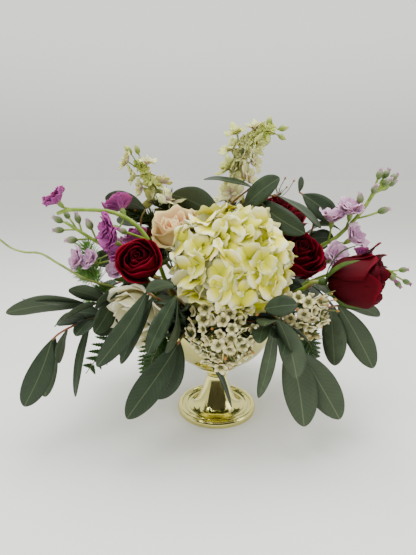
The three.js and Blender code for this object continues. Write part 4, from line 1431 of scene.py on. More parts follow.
# Layers of a rose from the outside in. reach and top are shares of its radius and height, and spread is
# half the width of a petal, in radians round the bloom. flare turns the rim out, roll brings it down,
# close draws it in and curl turns the sides out. A petal reaches its full radius at the share full.


def layer(petals, reach, top, spread, flare=0.0, roll=0.0, close=0.0, curl=0.0, full=0.66):
    return {
        "petals": petals, "reach": reach, "top": top, "spread": spread,
        "flare": flare, "roll": roll, "close": close, "curl": curl, "full": full,
    }


ROSE_HABITS = {
    "open": [
        layer(5, 1.0, 0.8, 0.84, flare=0.2, roll=0.2, curl=0.14),
        layer(4, 0.9, 0.93, 0.95, flare=0.1, roll=0.1, close=0.04, curl=0.08),
        layer(4, 0.74, 0.98, 1.0, flare=0.05, close=0.12, curl=0.05),
        layer(3, 0.58, 1.0, 1.3, flare=0.02, close=0.18, curl=0.02),
        layer(3, 0.42, 1.0, 1.35, close=0.2),
        layer(3, 0.3, 0.98, 1.4, close=0.2),
    ],
    "closed": [
        layer(3, 1.0, 0.74, 1.1, flare=0.2, roll=0.14, curl=0.2),
        layer(3, 0.98, 0.88, 1.15, flare=0.06, close=0.1, curl=0.1),
        layer(3, 0.86, 0.97, 1.25, close=0.26, curl=0.04),
        layer(2, 0.68, 1.0, 1.7, close=0.34),
        layer(3, 0.5, 1.0, 1.4, close=0.38),
        layer(3, 0.34, 0.98, 1.4, close=0.34),
    ],
    "cup": [
        layer(4, 1.0, 0.9, 0.9, flare=0.12, roll=0.12, close=0.06, curl=0.2, full=0.44),
        layer(4, 0.92, 1.0, 0.95, flare=0.16, roll=0.06, close=0.1, curl=0.2, full=0.44),
        layer(3, 0.8, 0.99, 1.2, flare=0.05, close=0.04, curl=0.1),
        layer(3, 0.64, 0.98, 1.35, close=0.14),
        layer(3, 0.46, 0.95, 1.4, close=0.2),
        layer(3, 0.3, 0.92, 1.4, close=0.2),
    ],
    "ruffled": [
        layer(4, 1.0, 0.76, 1.0, flare=0.26, roll=0.16, curl=0.12),
        layer(4, 0.95, 0.94, 1.0, flare=0.22, roll=0.05, curl=0.12),
        layer(3, 0.78, 1.0, 1.15, flare=0.14, curl=0.1),
        layer(3, 0.54, 0.84, 1.25, flare=0.04, close=0.05, curl=0.06),
        layer(3, 0.36, 0.76, 1.3, close=0.12),
    ],
}
# A cupped rose has one petal that stands away from it.
LOOSE_PETAL = layer(1, 1.0, 0.88, 0.42, flare=0.42, roll=-0.05, curl=-0.1)
# How far from the axis a petal's foot is, as a share of its reach
PETAL_FOOT = 0.3
LAYER_TURN = 0.62
HEART_TURNS = 1.9
RUFFLES = {"open": 0.04, "closed": 0.04, "cup": 0.05, "ruffled": 0.1}


def rose_petal(shape, radius, height, whorl, turn, ruffle, draw):
    """A petal round the axis of a bloom that faces up."""
    x, v = shape.points[:, 0], shape.points[:, 1]
    reach = whorl["reach"] * radius
    swell = np.sin(np.clip(v / whorl["full"], 0, 1) * math.pi / 2) ** 0.85
    r = reach * mix(PETAL_FOOT, 1.0, swell)
    r -= whorl["close"] * reach * smoothstep(v, 0.5, 1.0)
    # The rim is the last third of the petal.
    rim = np.clip((v - 0.66) / 0.34, 0, 1)
    flare = whorl["flare"] * draw.uniform(0.7, 1.25)
    r += flare * radius * rim**1.6
    z = whorl["top"] * height * v**1.12
    z -= whorl["roll"] * radius * rim**3.2
    # Its sides curl out, and one of them lies over the next petal.
    side = np.abs(x) ** 3 * smoothstep(v, 0.25, 1.0)
    r += whorl["curl"] * radius * side
    z -= 0.04 * height * side
    r += x * 0.05 * radius
    phase = draw.uniform(0, ANY_TURN)
    r += ruffle * radius * np.sin(6 * x + phase) * v**3
    z += ruffle * height * np.sin(4.5 * x + 2 * phase) * v**3
    z -= 0.07 * height * np.abs(x) * v * v
    return wrapped(r, turn + x * whorl["spread"], z)


def rose_heart(shape, radius, height, turn):
    """The rolled petals in the middle, as one strip wound inwards, with three waves along its top."""
    x, v = shape.points[:, 0], shape.points[:, 1]
    wound = (x + 1) / 2
    r = radius * mix(0.24, 0.035, wound) * (0.7 + 0.3 * v)
    z = height * (0.3 + 0.68 * v) + 0.02 * height * np.sin(3 * wound * 2 * math.pi) * v
    return wrapped(r, turn + wound * HEART_TURNS * 2 * math.pi, z)


def rose_bloom(shapes, rose, seed):
    """All the petals of a rose: its layers, one loose petal where it is cupped, and its heart."""
    copies = Copies()
    draw = random.Random(seed)
    base = np.array(rose["base"])
    own = facing(rose["axis"], rose.get("spin", 0))
    radius, height = rose["radius"], rose["height"]
    habit = rose["habit"]
    layers = ROSE_HABITS[habit]
    petal = shapes["petal"]
    for number, whorl in enumerate(layers):
        # A ruffled rose is freshest inside. The others take painted shade, darkest on their inner layers,
        # and a rose's shade adds painted shade to all its petals.
        inner = number / len(layers)
        tone = inner if habit == "ruffled" else 1 - inner - rose.get("shade", 0)
        for k in range(whorl["petals"]):
            turn = spaced(k, whorl["petals"], number * LAYER_TURN, 0.24, draw)
            own_petal = {
                **whorl,
                "top": whorl["top"] * draw.uniform(0.82, 1.02),
                "reach": whorl["reach"] * draw.uniform(0.86, 1.04),
            }
            surface = rose_petal(petal, radius, height, own_petal, turn, RUFFLES[habit], draw)
            copies.add(petal, base + surface @ own.T, tone + draw.uniform(-0.12, 0.1))
    if habit == "cup":
        upward = own.T @ UP
        turn = math.atan2(upward[1], upward[0]) - 0.25
        loose = rose_petal(petal, radius, height, LOOSE_PETAL, turn, 0.03, draw)
        # The loose petal takes painted shade like the outer petals of this dark rose.
        copies.add(petal, base + loose @ own.T, 0.3)
    top = height * layers[-1]["top"]
    heart = rose_heart(shapes["strip"], radius, top, draw.uniform(0, ANY_TURN))
    # The rolled heart of a red rose is dark with painted shade, and a ruffled rose's heart is fresh.
    copies.add(shapes["strip"], base + heart @ own.T, 1 if habit == "ruffled" else 0.1)
    return copies


def sepals_and_hip(shapes, rose, seed):
    """A rose's green: a rounded hip, and five sepals that hang under the bloom or clasp it."""
    blades, hips = Copies(), Copies()
    draw = random.Random(seed)
    own = facing(rose["axis"], rose.get("spin", 0))
    base = np.array(rose["base"])
    x, v = shapes["sepal"].points[:, 0], shapes["sepal"].points[:, 1]
    clasps = rose["habit"] in ("closed", "cup")
    half_width = 3.4
    for k in range(5):
        turn = spaced(k, 5, 0, 0.15, draw)
        droop = draw.uniform(0.1, 0.35)
        if clasps:
            swell = np.sin(np.clip(v / 0.7, 0, 1) * math.pi / 2) ** 0.85
            out = rose["radius"] * mix(PETAL_FOOT * 0.8, 1.0 + 1.4 * droop * v, swell) + 0.8
            z = 0.55 * rose["height"] * v**1.2 - 1.5
        else:
            out = 3 + 18 * v
            z = -2.4 - 18 * droop * v**1.6 + 1.2 * np.abs(x)
        surface = swung(out, half_width * x, z, turn)
        blades.add(shapes["sepal"], base + surface @ own.T, draw.uniform(0, 0.5))
    hip_size = 11
    hip = shapes["hip"].points * hip_size - [0, 0, hip_size + 0.5]
    hips.add(shapes["hip"], base + hip @ own.T, 0.6)
    return blades, hips


class GrowRoses(bpy.types.Operator):
    """Builds each rose from its layers of petals, with its hip, sepals and stem"""

    bl_idname = "centrepiece.grow_roses"
    bl_label = "Roses"

    def execute(self, context):
        look = context.scene.centrepiece_blooms
        green = context.scene.centrepiece_foliage.stem
        shapes = {
            "petal": blank(10, 12, broadens(0.42, 0.6), rounded_off(0.2, 2.6)),
            "strip": blank(64, 6, lambda v: 1),
            "sepal": blank(
                4, 8, lambda v: math.sin(math.pi * min(1, mix(0.2, 1, v))) ** 0.7 * (1 - 0.4 * v)
            ),
            "hip": bulb(12, 8, lambda h: 0.42 * math.sin(math.pi * h) ** 0.5 * (0.7 + 0.4 * h)),
        }
        petals = {
            "red": red_rose_petal(look),
            "blush": blush_rose_petal(look),
            "ivory": ivory_rose_petal(look),
        }
        sepal = sepal_leaf()
        bark = stem_material("rose stem, smooth green", green, linear("#7A5A30"))
        for seed, (name, rose) in enumerate(ROSES.items()):
            bloom = rose_bloom(shapes, rose, seed)
            made = bloom.as_object(name, [petals[rose["colour"]]], look.petal / MM)
            dress(f"{name}_petals", name, [made])
            blades, hips = sepals_and_hip(shapes, rose, seed)
            axis = unit(rose["axis"])
            base = np.array(rose["base"])
            # The stem comes to the hip from straight behind.
            path = [*rose["stem"], (base - axis * 16).tolist(), (base - axis * 6).tolist()]
            parts = [
                stems(f"{name}_stalk", [(along_stem(path), 2.2, 2.4)], bark),
                blades.as_object(f"{name}_sepals", [sepal], thickness=0.6),
                hips.as_object(f"{name}_hip", [sepal]),
            ]
            dress(f"{name}_stalk", f"{name}_stem", parts)
        return {"FINISHED"}


# Sprays


def patch_heads(centre, reach, count, lean, size, seed):
    """Heads that face out over the front of an ellipsoid, in an even spiral, with a few buds."""
    draw = random.Random(seed)
    own = facing(lean)
    heads = []
    for k in range(count):
        polar = math.acos(1 - (k + 0.5) / count)
        out = own @ on_ball(polar, k * GOLDEN_ANGLE)
        near = draw.uniform(0.82, 1.08)
        spot = np.array(centre) + out * np.array(reach) * near
        kind = {5: "pearl", 2: "bud"}.get(k % 12, "wax")
        heads.append((kind, tuple(spot), size * draw.uniform(0.86, 1.14)))
    return heads


# How far back along the stem a pedicel starts, as a share of its head's distance from the stem
SLANTS = {"magenta": 1.2, "lavender": 1.2, "larkspur": 0.8, "wax": 0.6}


def head_frames(spray):
    """For each head: its kind, centre, the way it faces, its size and its pedicel's root."""
    line = along_stem(spray["stem"], 2)
    heads = list(spray["heads"])
    if "patch" in spray:
        heads += patch_heads(**spray["patch"], size=spray["size"], seed=spray["seed"])
    for kind, centre, size in heads:
        centre = np.array(centre, float)
        beside = nearest(line, centre)
        back = unit(line[0] - beside) * np.linalg.norm(centre - beside) * SLANTS[spray["colour"]]
        root = nearest(line, beside + back)
        # Stock flowers turn their faces up a little.
        raised = UP * (0.5 if kind == "stock" else 0)
        yield kind, centre, unit(unit(centre - root) + raised), size, root


def pedicel(root, centre, axis, depth, draw):
    """A thin stalk that leaves its stem and ends behind a flower."""
    end = centre - axis * depth
    sag = np.array([draw.uniform(-1, 1), draw.uniform(-1, 1), draw.uniform(-1, 0.4)]) * 0.06
    middle = mix(root, end, 0.55) + sag * np.linalg.norm(end - root)
    return smooth([root, middle, end], np.linspace(0, 1, 6))


# Rings of a flower from the outside in: how many petals, their reach as a share of its size, and how
# steeply they rise
STOCK_RINGS = ((6, 1.12, 1.1), (5, 0.85, 1.8), (4, 0.5, 2.7))
BUD_RINGS = ((4, 0.24, 4.2), (3, 0.14, 5.5))
LARKSPUR_RINGS = ((5, 1.2, 0.8), (4, 0.6, 1.9))


def stock_flower(copies, shape, centre, axis, size, rings, draw):
    """A loose double flower of crumpled petals, in rings that stand more upright towards the middle."""
    own = facing(axis, draw.uniform(0, ANY_TURN))
    for number, (petals, reach, lift) in enumerate(rings):
        for k in range(petals):
            turn = spaced(k, petals, number * 0.6, 0.25, draw)
            far = size * reach * draw.uniform(0.85, 1.05)
            up = lift + draw.uniform(-0.2, 0.25)
            surface = floret_petal(shape, far, far * 0.62, turn, up, -0.4 * up, draw)
            surface[:, 2] -= size * 0.5
            copies.add(shape, centre + surface @ own.T, draw.uniform(0.1, 1.0) - 0.15 * number)


def larkspur_flower(copies, shape, centre, axis, size, tone, draw):
    """A cup of five narrow petals, not quite even, round a smaller crumpled heart."""
    own = facing(axis, draw.uniform(0, ANY_TURN))
    for number, (petals, reach, lift) in enumerate(LARKSPUR_RINGS):
        for k in range(petals):
            turn = spaced(k, petals, number * 0.5, 0.25, draw)
            far = size * reach * draw.uniform(0.85, 1.1)
            up = lift + draw.uniform(-0.3, 0.35)
            surface = floret_petal(shape, far, far * 0.36, turn, up, -0.45 * up, draw)
            surface[:, 2] -= size * 0.65
            copies.add(shape, centre + surface @ own.T, tone)


def larkspur_spike(copies, shape, stem, spike, draw):
    """Florets all round the top of a stem, smaller and greener towards its tip."""
    first, last, count, largest, smallest = spike
    for k in range(count):
        share = k / (count - 1)
        t = mix(first, last, share)
        at, ahead = smooth(stem, [t, t + 0.02])
        heading = unit(ahead - at)
        level = unit(np.cross(heading, UP + [0, 0.01, 0]))
        outward = turned_about(level, heading, k * GOLDEN_ANGLE)
        way = unit(outward + heading * draw.uniform(0.2, 0.8))
        size = mix(largest, smallest, share) * draw.uniform(0.85, 1.1)
        tone = mix(1.0, 0.0, share) + draw.uniform(-0.3, 0.2)
        larkspur_flower(copies, shape, at + way * size * 0.9, way, size, tone, draw)


def wax_flower(copies, shape, centre, own, size, draw):
    """Five round waxy petals on the rim of a shallow cup."""
    tone = draw.uniform(0.2, 1.0)
    lift = draw.uniform(0.25, 0.95)
    rim = size * 0.28
    for k in range(5):
        turn = spaced(k, 5, 0, 0.1, draw)
        far = size * draw.uniform(0.66, 0.76)
        surface = floret_petal(shape, far, far * 0.58, turn, lift, -0.2, draw)
        surface[:, 0] += rim * math.cos(turn)
        surface[:, 1] += rim * math.sin(turn)
        copies.add(shape, centre + surface @ own.T, tone)


# The finishes of cups and buds, in the order of their materials
CALYX, CUP, BUD, PEARL = range(4)
# How far forward a needle leans, as a share of how far it stands out
NEEDLE_LEAN = 0.9


def bristle(copies, needle, line, count, least, most, wide, draw):
    """Sets needles all round a line, leaning towards its end."""
    for k in range(count):
        share = (k + 0.5) / count * (len(line) - 1)
        step = min(int(share), len(line) - 2)
        at = mix(line[step], line[step + 1], share - step)
        heading = unit(line[step + 1] - line[step])
        level = unit(np.cross(heading, UP + [0.01, 0, 0]))
        side = turned_about(level, heading, k * GOLDEN_ANGLE)
        outward = side * draw.uniform(0.7, 1.0)
        way = unit(outward + heading * draw.uniform(NEEDLE_LEAN * 0.6, NEEDLE_LEAN * 1.3))
        thin = needle.points * [wide, wide, draw.uniform(least, most)]
        copies.add(needle, at + thin @ facing(way).T, draw.random())


def set_body(bodies, shape, centre, own, sizes, tone, finish):
    """Sets a cup or bud at a head. sizes are its width, its length and how far back it starts."""
    wide, long, back = sizes
    points = shape.points * [wide, wide, long] - [0, 0, back]
    bodies.add(shape, centre + points @ own.T, tone, finish)


def set_head(flowers, bodies, spray, head, shapes, draw):
    """Sets one head, with its green cup or as a bud, and gives the rod of its pedicel."""
    kind, centre, axis, size, root = head
    radius = spray["radius"]
    own = facing(axis, draw.uniform(0, ANY_TURN))
    tone = draw.uniform(0.3, 1.0)
    if kind == "stock":
        stock_flower(flowers, shapes["petal"], centre, axis, size, STOCK_RINGS, draw)
        sizes = (size * 0.62, size * 0.95, size * 1.1)
        set_body(bodies, shapes["calyx"], centre, own, sizes, tone, CALYX)
        return pedicel(root, centre, axis, size, draw), 0.9, 1.1
    if kind == "star":
        larkspur_flower(flowers, shapes["narrow"], centre, axis, size, tone, draw)
        sizes = (size * 0.34, size * 1.1, size * 1.5)
        set_body(bodies, shapes["spur"], centre, own, sizes, tone, CALYX)
        return pedicel(root, centre, axis, size * 0.6, draw), 0.6, 0.6
    if kind == "wax":
        tilt = np.array([draw.uniform(-0.45, 0.45) for _ in range(3)])
        own = facing(unit(axis + tilt), draw.uniform(0, ANY_TURN))
        wax_flower(flowers, shapes["round"], centre, own, size, draw)
        sizes = (size * 0.95, size * 0.8, size * 0.66)
        set_body(bodies, shapes["cup"], centre, own, sizes, tone, CUP)
        return pedicel(root, centre, axis, size * 0.6, draw), 0.55, 0.5
    if spray["colour"] in ("magenta", "lavender"):
        tip = centre + axis * size * 0.35
        stock_flower(flowers, shapes["petal"], tip, axis, size, BUD_RINGS, draw)
        sizes = (size * 0.95, size * 1.3, size * 0.85)
        set_body(bodies, shapes["bud"], centre, own, sizes, tone, BUD)
        return pedicel(root, centre, axis, size * 0.45, draw), radius * 0.42, radius * 0.5
    wide, long = (0.62, 0.66) if spray["colour"] == "wax" else (0.88, 1.25)
    sizes = (size * wide, size * long, size * long * 0.5)
    finish = PEARL if kind == "pearl" else BUD
    set_body(bodies, shapes["bud"], centre, own, sizes, tone, finish)
    return pedicel(root, centre, axis, size * long * 0.4, draw), radius * 0.4, radius * 0.45


def grow_spray(name, spray, shapes, finishes, petal):
    """Builds a spray: its stem, its flowers and buds on their pedicels, and its needle leaves."""
    draw = random.Random(sum(map(ord, name)))
    flowers, bodies = Copies(), Copies()
    radius = spray["radius"]
    rods = [(along_stem(spray["stem"]), radius * 1.05, radius * 0.7)]
    for head in head_frames(spray):
        rods.append(set_head(flowers, bodies, spray, head, shapes, draw))
    if "spike" in spray:
        larkspur_spike(flowers, shapes["narrow"], spray["stem"], spray["spike"], draw)
    parts = [stems(f"{name}_stems", rods, finishes["stem"], round_off=1)]
    parts.append(flowers.as_object(f"{name}_flowers", [petal], spray["petal"]))
    if "foliage" in spray:
        fine = Copies()
        for first, last, count, least, most, wide in spray["foliage"]:
            line = smooth(spray["stem"], np.linspace(first, last, 40))
            bristle(fine, shapes["needle"], line, count, least, most, wide, draw)
        parts.append(fine.as_object(f"{name}_foliage", [finishes["needle"]]))
    parts.append(bodies.as_object(f"{name}_cups", finishes["bodies"]))
    dress(f"{name}_spray", name, parts)


class GrowSprays(bpy.types.Operator):
    """Builds the stock, larkspur and wax flower, each with its stem, pedicels, flowers and buds"""

    bl_idname = "centrepiece.grow_sprays"
    bl_label = "Stock, larkspur and wax flower"

    def execute(self, context):
        look = context.scene.centrepiece_blooms
        green = context.scene.centrepiece_foliage.stem
        shapes = {
            "petal": blank(6, 6, broadens(0.24, 0.66, 1.2), rounded_off(0.25, 2.2)),
            "narrow": blank(4, 6, lambda v: math.sin(math.pi * (0.12 + 0.88 * v)) ** 0.8),
            "round": blank(4, 4, broadens(0.4, 0.5), rounded_off(0.4, 2)),
            "calyx": bulb(8, 6, lambda h: 0.3 * math.sin(math.pi * h) ** 0.5 + 0.1 * h),
            "spur": bulb(6, 5, lambda h: 0.06 + 0.34 * h * math.sin(math.pi * h) ** 0.4),
            "cup": bulb(8, 6, lambda h: 0.42 * math.sin(math.pi * h) ** 0.6 * (0.5 + 0.7 * h)),
            "bud": bulb(8, 7, lambda h: 0.4 * math.sin(math.pi * h**0.85) ** 0.75),
            "needle": needle_shape(),
        }
        petals = {
            "magenta": stock_petal("stock petal, magenta", look.magenta),
            "lavender": stock_petal("stock petal, lavender", look.lavender),
            "larkspur": larkspur_petal(look),
            "wax": wax_petal(look),
        }
        stalks = {
            "magenta": stem_material("stock stem, fleshy green", green, linear("#89A336")),
            "larkspur": stem_material("larkspur stem, thin green", linear("#66802E"), linear("#8E9A4E")),
            "wax": stem_material("wax flower twig, green wood", linear("#55702C"), linear("#7A5A34")),
        }
        stalks["lavender"] = stalks["magenta"]
        calyx = bud_material("stock calyx, green", linear("#6F8A30"), linear("#9AA85A"))
        cup = bud_material("wax flower cup, olive", linear("#5E6E28"), linear("#4E4A1C"))
        pearl = bud_material("wax flower bud, pearl", linear("#C9C890"), linear("#F4F0DC"), 0.3)
        buds = {
            "magenta": bud_material("stock bud, green and magenta", linear("#56702E"), linear("#7E7460")),
            "lavender": bud_material("stock bud, grey green", linear("#5A7034"), linear("#8E8C74")),
            "larkspur": bud_material("larkspur bud, lime", linear("#7F9130"), linear("#B9BE6A")),
            "wax": bud_material("wax flower bud, amber", linear("#8A7A34"), linear("#BE7330"), 0.35),
        }
        needle = stem_material("wax flower needle leaf", linear("#42541E"), linear("#2A3614"))
        cut_leaf = stem_material("larkspur leaf, finely cut", linear("#34421A"), linear("#1E290E"))
        for name, spray in SPRAYS.items():
            kind = spray["colour"]
            spray = {**spray, "size": look.wax_flower / MM, "petal": look.petal / MM}
            finishes = {
                "stem": stalks[kind],
                "bodies": [calyx, cup, buds[kind], pearl],
                "needle": needle if kind == "wax" else cut_leaf,
            }
            grow_spray(name, spray, shapes, finishes, petals[kind])
        return {"FINISHED"}


# Foliage


def leaf_outline(v):
    """Half a eucalyptus leaf's width along it: widest a little past its middle, on a short stalk."""
    belly, point = 0.8, 0.6
    widest = belly / (belly + point)
    top = widest**belly * (1 - widest) ** point
    stalk = 0.07 if v < 0.5 else 0
    return max(v**belly * (1 - v) ** point / top, stalk)


def laid_leaf(shape, base, tip, width, roll=0.0, arch=0.08, fold=0.12, sway=0.0, twist=0.0, phase=0.0):
    """A blank laid from a base to a tip.

    roll turns it on its length, arch lifts its middle, fold lifts its edges, sway swings its middle to
    one side, twist turns it further towards its tip, and phase shifts the waves along its edges.
    """
    x, v = shape.points[:, 0], shape.points[:, 1]
    base, tip = np.array(base, float), np.array(tip, float)
    reach = np.linalg.norm(tip - base)
    along = (tip - base) / reach
    level = np.array([1.0, 0, 0]) if abs(along[2]) > 0.98 else unit(np.cross(along, UP))
    side = turned_about(level, along, np.radians(roll) + twist * (v - 0.4))
    face = np.cross(side, along)
    half = width / 2
    lift = arch * reach * 4 * v * (1 - v)
    lift += fold * half * np.abs(x) ** 1.4
    lift += 0.05 * half * np.sin(9 * v + phase) * np.abs(x) ** 2
    across = x * half + sway * reach * np.sin(math.pi * v)
    return base + np.outer(v * reach, along) + face * lift[:, None] + side * across[:, None]


def back_branch(turn_degrees, reach, height, seed):
    """A branch that hangs over the back edge of the bowl, with four leaves on alternate sides and one
    at its end."""
    draw = random.Random(seed)
    turn = math.radians(turn_degrees)

    def out(far, z, swing=0.0):
        return [far * math.cos(turn + swing), far * math.sin(turn + swing), z]

    stem = planted(*out(64, 0)[:2], out(reach * 0.66, height + 6), out(reach * 0.9, height))
    leaves = []
    for k in range(5):
        hand = 1 if k % 2 else -1
        share = mix(0.62, 1, k / 4)
        swing = 0 if k == 4 else hand * (0.24 + 0.06 * draw.random())
        far = mix(reach * 0.95, reach * 1.1, k / 4)
        low = height - mix(70, 24, k / 4) * (0.8 + 0.2 * draw.random())
        width = 26 + 5 * draw.random()
        leaves.append((share, out(far, low, swing), width, hand * 24, 0.1))
    return [stem, leaves]


def filling_leaves(stem, draw):
    """Short leaves low on a branch that close the gaps over the foam."""
    leaves = []
    for k in range(7):
        share = mix(0.28, 0.62, k / 6)
        root = smooth(stem, share)[0]
        out = unit([root[0], root[1], 0])
        across = np.cross(UP, out) * (1 if k % 2 else -1)
        way = unit(out + across * draw.uniform(0.4, 1.4) + UP * draw.uniform(-0.35, 0.5))
        tip = root + way * draw.uniform(32, 42)
        leaves.append((share, tuple(tip), draw.uniform(18, 23), draw.uniform(-60, 60), 0.1))
    return leaves


class GrowEucalyptus(bpy.types.Operator):
    """Hangs the long leaves on every eucalyptus branch"""

    bl_idname = "centrepiece.grow_eucalyptus"
    bl_label = "Eucalyptus"

    def execute(self, context):
        look = context.scene.centrepiece_foliage
        leaf = blank(6, 22, leaf_outline, ease_in=True)
        finishes = [eucalyptus_face(look), eucalyptus_under(look)]
        twig = stem_material("eucalyptus twig, red brown", linear("#8A4A26"), linear("#6A6A34"))
        branches = dict(EUCALYPTUS)
        for k, (turn, reach, height) in enumerate(BACK_BRANCHES):
            branches[f"eucalyptus_back_{k + 1}"] = back_branch(turn, reach, height, BACK_SEED + k)
        for seed, (name, (stem, leaves)) in enumerate(branches.items()):
            draw = random.Random(seed)
            blades = Copies()
            for share, tip, width, roll, arch, *sway in [*leaves, *filling_leaves(stem, draw)]:
                root = smooth(stem, share)[0]
                surface = laid_leaf(
                    leaf, root, tip, width, roll, arch,
                    sway=sway[0] if sway else draw.uniform(-0.03, 0.03),
                    twist=draw.uniform(-0.35, 0.35),
                    phase=draw.uniform(0, ANY_TURN),
                )
                blades.add(leaf, surface, draw.uniform(0, 1))
            radius = look.twig / MM
            parts = [
                blades.as_object(f"{name}_leaves", finishes, look.leaf / MM, under=1),
                stems(f"{name}_twig", [(along_stem(stem), radius, radius * 0.7)], twig, round_off=1),
            ]
            dress(f"{name}_branch", name, parts)
        return {"FINISHED"}


def roll_to(base, tip, way):
    """The roll, in degrees, that turns a leaf's width towards a direction."""
    along = unit(tip - base)
    level = unit(np.cross(along, UP))
    return math.degrees(math.atan2(np.dot(np.cross(level, way), along), np.dot(level, way)))


def pinna_outline(v):
    """Half a pinna's width along it: it narrows to its tip, with six rounded lobes."""
    lobes = 0.8 + 0.2 * math.cos(2 * math.pi * 6 * v)
    return (1 - v) ** 0.6 * lobes + 0.02 * (1 - v)


# Pairs of pinnae on a frond, and the share of its rib where they begin
FROND_PAIRS = 13
RIB_START = 0.34


class GrowFerns(bpy.types.Operator):
    """Builds the leatherleaf fronds, and the feathery shoot with its runner"""

    bl_idname = "centrepiece.grow_ferns"
    bl_label = "Ferns"

    def execute(self, context):
        look = context.scene.centrepiece_foliage
        pinna = blank(2, 36, pinna_outline)
        green = fern_leaf(look)
        rib = stem_material("fern rib, brown green", linear("#55642A"), linear("#6A5A2E"))
        for seed, (name, (stem, longest, width, roll)) in enumerate(FERNS.items()):
            draw = random.Random(seed)
            blades = Copies()
            for k in range(FROND_PAIRS):
                share = (k + 0.5) / FROND_PAIRS
                t = mix(RIB_START, 0.98, share)
                root, ahead = smooth(stem, [t - 0.01, t])
                heading = unit(ahead - root)
                level = unit(np.cross(heading, UP))
                side = turned_about(level, heading, math.radians(roll))
                reach = longest * math.sin(math.pi * mix(0.3, 0.88, share))
                for hand in (-1, 1):
                    tip = root + side * hand * reach + heading * reach * 0.55
                    tip[2] -= reach * draw.uniform(0.0, 0.15)
                    turn = roll_to(root, tip, heading) + draw.uniform(-15, 15)
                    surface = laid_leaf(pinna, root, tip, width, turn, arch=0.05, fold=0.06)
                    blades.add(pinna, surface, draw.uniform(0, 0.7))
            parts = [
                blades.as_object(f"{name}_pinnae", [green], thickness=0.45),
                stems(f"{name}_rib", [(along_stem(stem), 1.2, 0.5)], rib, round_off=1),
            ]
            dress(f"{name}_frond", name, parts)
        self.grow_feather(look)
        return {"FINISHED"}

    def grow_feather(self, look):
        """Needles all round short shoots, and the long bare runner."""
        draw = random.Random(3)
        needle = needle_shape()
        green = stem_material("feather fern, bright green", look.feather, darker(look.feather, 0.5))
        bare = stem_material("fern runner, yellow green", look.runner, darker(look.runner, 0.7))
        needles = Copies()
        runner = along_stem(RUNNER_STEM, 4)
        rods = []
        for share, tip in RUNNER_BRANCHES:
            root = smooth(RUNNER_STEM, share)[0]
            tip = np.array(tip, float)
            shoot = smooth([root, mix(root, tip, 0.5) + [0, 0, 2], tip], np.linspace(0, 1, 8))
            rods.append((shoot, 0.8, 0.4))
            bristle(needles, needle, shoot, 210, 10, 22, 1.1, draw)
        parts = [
            stems("feather_runner", [(runner, 1.5, 1.0)], bare, round_off=1),
            stems("feather_shoots", rods, green, round_off=1),
            needles.as_object("feather_needles", [green]),
        ]
        dress("feather_fern_shoot", "feather_fern_runner", parts)


# The stage, in metres. The camera looks down by its pitch, in degrees.

CAMERA_PLACE = (-0.011, -0.491, 0.294)
CAMERA_PITCH = 13.85
CAMERA_LENS = 27.24
SENSOR = 36

FLOOR_SIZE = 40
CARD_PLACE = (0.2, -1.1, 0.78)
CARD_SIZE = (4.0, 1.3, 1)

# Round lights: place, width, and power as a share of the key's. Each points at the flowers.
LIGHTS = {
    "key": ((-0.75, -0.9, 1.35), 0.9, 1),
    "top": ((0.1, 0.05, 1.5), 1.0, 1.3),
    "fill": ((1.2, -0.5, 0.8), 0.9, 0.3),
}
LIGHT_AIM = (0, 0, 0.17)


def painted_board(rgb):
    # Painted board: pale, matt and even, a little glossier in cloudy patches a third of a metre wide.
    material, tree = new_material("painted board, matt pale grey")
    clouds = mottle(tree, 1000 / 3, Detail=3)
    rough = add(
        tree,
        "ShaderNodeMapRange",
        {"Value": clouds, "From Min": 0.3, "From Max": 0.7, "To Min": 0.6, "To Max": 0.75},
        interpolation_type="SMOOTHSTEP",
    )
    return shaded(material, {"Base Color": opaque(rgb), "Roughness": rough.outputs["Result"]})


def matt_card(rgb):
    # Black card: dark and dull, so that the metal which mirrors it shows dark streaks.
    material = new_material("card, matt black")[0]
    return shaded(material, {"Base Color": opaque(rgb), "Roughness": 0.9})


def area_light(name, place, width, power):
    light = bpy.data.lights.new(name, "AREA")
    light.shape = "DISK"
    light.size = width
    light.energy = power
    lamp = bpy.data.objects.new(name, light)
    lamp.location = place
    lamp.rotation_mode = "QUATERNION"
    lamp.rotation_quaternion = (Vector(LIGHT_AIM) - Vector(place)).to_track_quat("-Z", "Y")
    bpy.context.scene.collection.objects.link(lamp)


def light_room(tree, look):
    """A white room, greyer towards its floor, with a dark band high behind the camera."""
    tree.nodes.clear()
    way = add(tree, "ShaderNodeTexCoord").outputs["Generated"]
    part = add(tree, "ShaderNodeSeparateXYZ", {"Vector": way}).outputs
    band = 1.0
    # The band's lower and upper edge, and its end at either side
    for value, outside, inside in (("Z", 0.44, 0.58), ("Z", 0.95, 0.85), ("Y", -0.08, -0.35)):
        edge = add(
            tree,
            "ShaderNodeMapRange",
            {"Value": part[value], "From Min": outside, "From Max": inside},
            interpolation_type="SMOOTHSTEP",
        )
        inputs = {0: band, 1: edge.outputs["Result"]}
        band = add(tree, "ShaderNodeMath", inputs, operation="MULTIPLY").outputs["Value"]
    walls = painted(tree, darker(look.sky, 0.68), look.sky, part["Z"], 0.0, 0.3)
    inputs = {"Factor": band, "A": walls, "B": opaque(look.dark)}
    shade = add(tree, "ShaderNodeMix", inputs, data_type="RGBA").outputs["Result"]
    room = add(tree, "ShaderNodeBackground", {"Color": shade, "Strength": look.room})
    add(tree, "ShaderNodeOutputWorld", {"Surface": room.outputs["Background"]})


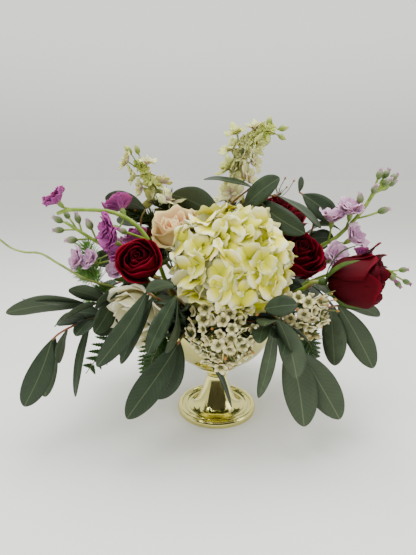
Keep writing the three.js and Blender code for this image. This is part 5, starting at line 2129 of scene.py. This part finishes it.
class SetStage(bpy.types.Operator):
    """Lays the floor, stands the card, hangs the soft lights and sets the camera"""

    bl_idname = "centrepiece.set_stage"
    bl_label = "Stage"

    def execute(self, context):
        look = context.scene.centrepiece_stage
        deselect()
        bpy.ops.mesh.primitive_plane_add(size=FLOOR_SIZE)
        floor = context.object
        floor.name = "floor"
        floor.data.materials.append(painted_board(look.floor))
        floor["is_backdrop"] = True

        bpy.ops.mesh.primitive_plane_add(size=1, location=CARD_PLACE, rotation=(math.pi / 2, 0, 0))
        card = context.object
        card.name = "black_card"
        card.scale = CARD_SIZE
        card.data.materials.append(matt_card(look.dark))
        # The card is only there for the metal to reflect.
        for seen_by in ("camera", "diffuse", "transmission", "volume_scatter", "shadow"):
            setattr(card, "visible_" + seen_by, False)
        card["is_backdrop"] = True

        for name, (place, width, share) in LIGHTS.items():
            area_light(name, place, width, look.key * share)
        world = bpy.data.worlds.new("studio")
        context.scene.world = world
        world.use_nodes = True
        light_room(world.node_tree, look)

        lens = bpy.data.cameras.new("camera")
        lens.lens = CAMERA_LENS
        lens.sensor_width = SENSOR
        camera = bpy.data.objects.new("camera", lens)
        camera.location = CAMERA_PLACE
        camera.rotation_euler = (math.radians(90 - CAMERA_PITCH), 0, 0)
        context.scene.collection.objects.link(camera)
        context.scene.camera = camera
        return {"FINISHED"}


STEPS = (SetStage, SpinCompote, GrowHydrangeas, GrowRoses, GrowSprays, GrowEucalyptus, GrowFerns)
SETTINGS = {
    "centrepiece_holder": HolderSettings,
    "centrepiece_blooms": BloomSettings,
    "centrepiece_foliage": FoliageSettings,
    "centrepiece_stage": StageSettings,
}


class CentrepiecePanel(bpy.types.Panel):
    """Lists the sizes, the colours and the steps"""

    bl_idname = "VIEW3D_PT_centrepiece"
    bl_label = "Flower Centrepiece"
    bl_space_type = "VIEW_3D"
    bl_region_type = "UI"
    bl_category = "Centrepiece"

    def draw(self, context):
        for step in STEPS:
            self.layout.operator(step.bl_idname)
        for name, group in SETTINGS.items():
            box = self.layout.box()
            for key in group.__annotations__:
                box.prop(getattr(context.scene, name), key)


CLASSES = (*SETTINGS.values(), *STEPS, CentrepiecePanel)


def register():
    for one in CLASSES:
        bpy.utils.register_class(one)
    for name, group in SETTINGS.items():
        setattr(bpy.types.Scene, name, bpy.props.PointerProperty(type=group))


def unregister():
    for name in SETTINGS:
        delattr(bpy.types.Scene, name)
    for one in reversed(CLASSES):
        bpy.utils.unregister_class(one)


def main():
    register()
    bpy.ops.centrepiece.set_stage()
    bpy.ops.centrepiece.spin_compote()
    bpy.ops.centrepiece.grow_hydrangeas()
    bpy.ops.centrepiece.grow_roses()
    bpy.ops.centrepiece.grow_sprays()
    bpy.ops.centrepiece.grow_eucalyptus()
    bpy.ops.centrepiece.grow_ferns()
    boxes = {"cad": CAD_BOX, "visual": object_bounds()}
    {name: [list(corner) for corner in box] for name, box in boxes.items()}


if __name__ == "__main__":
    main()
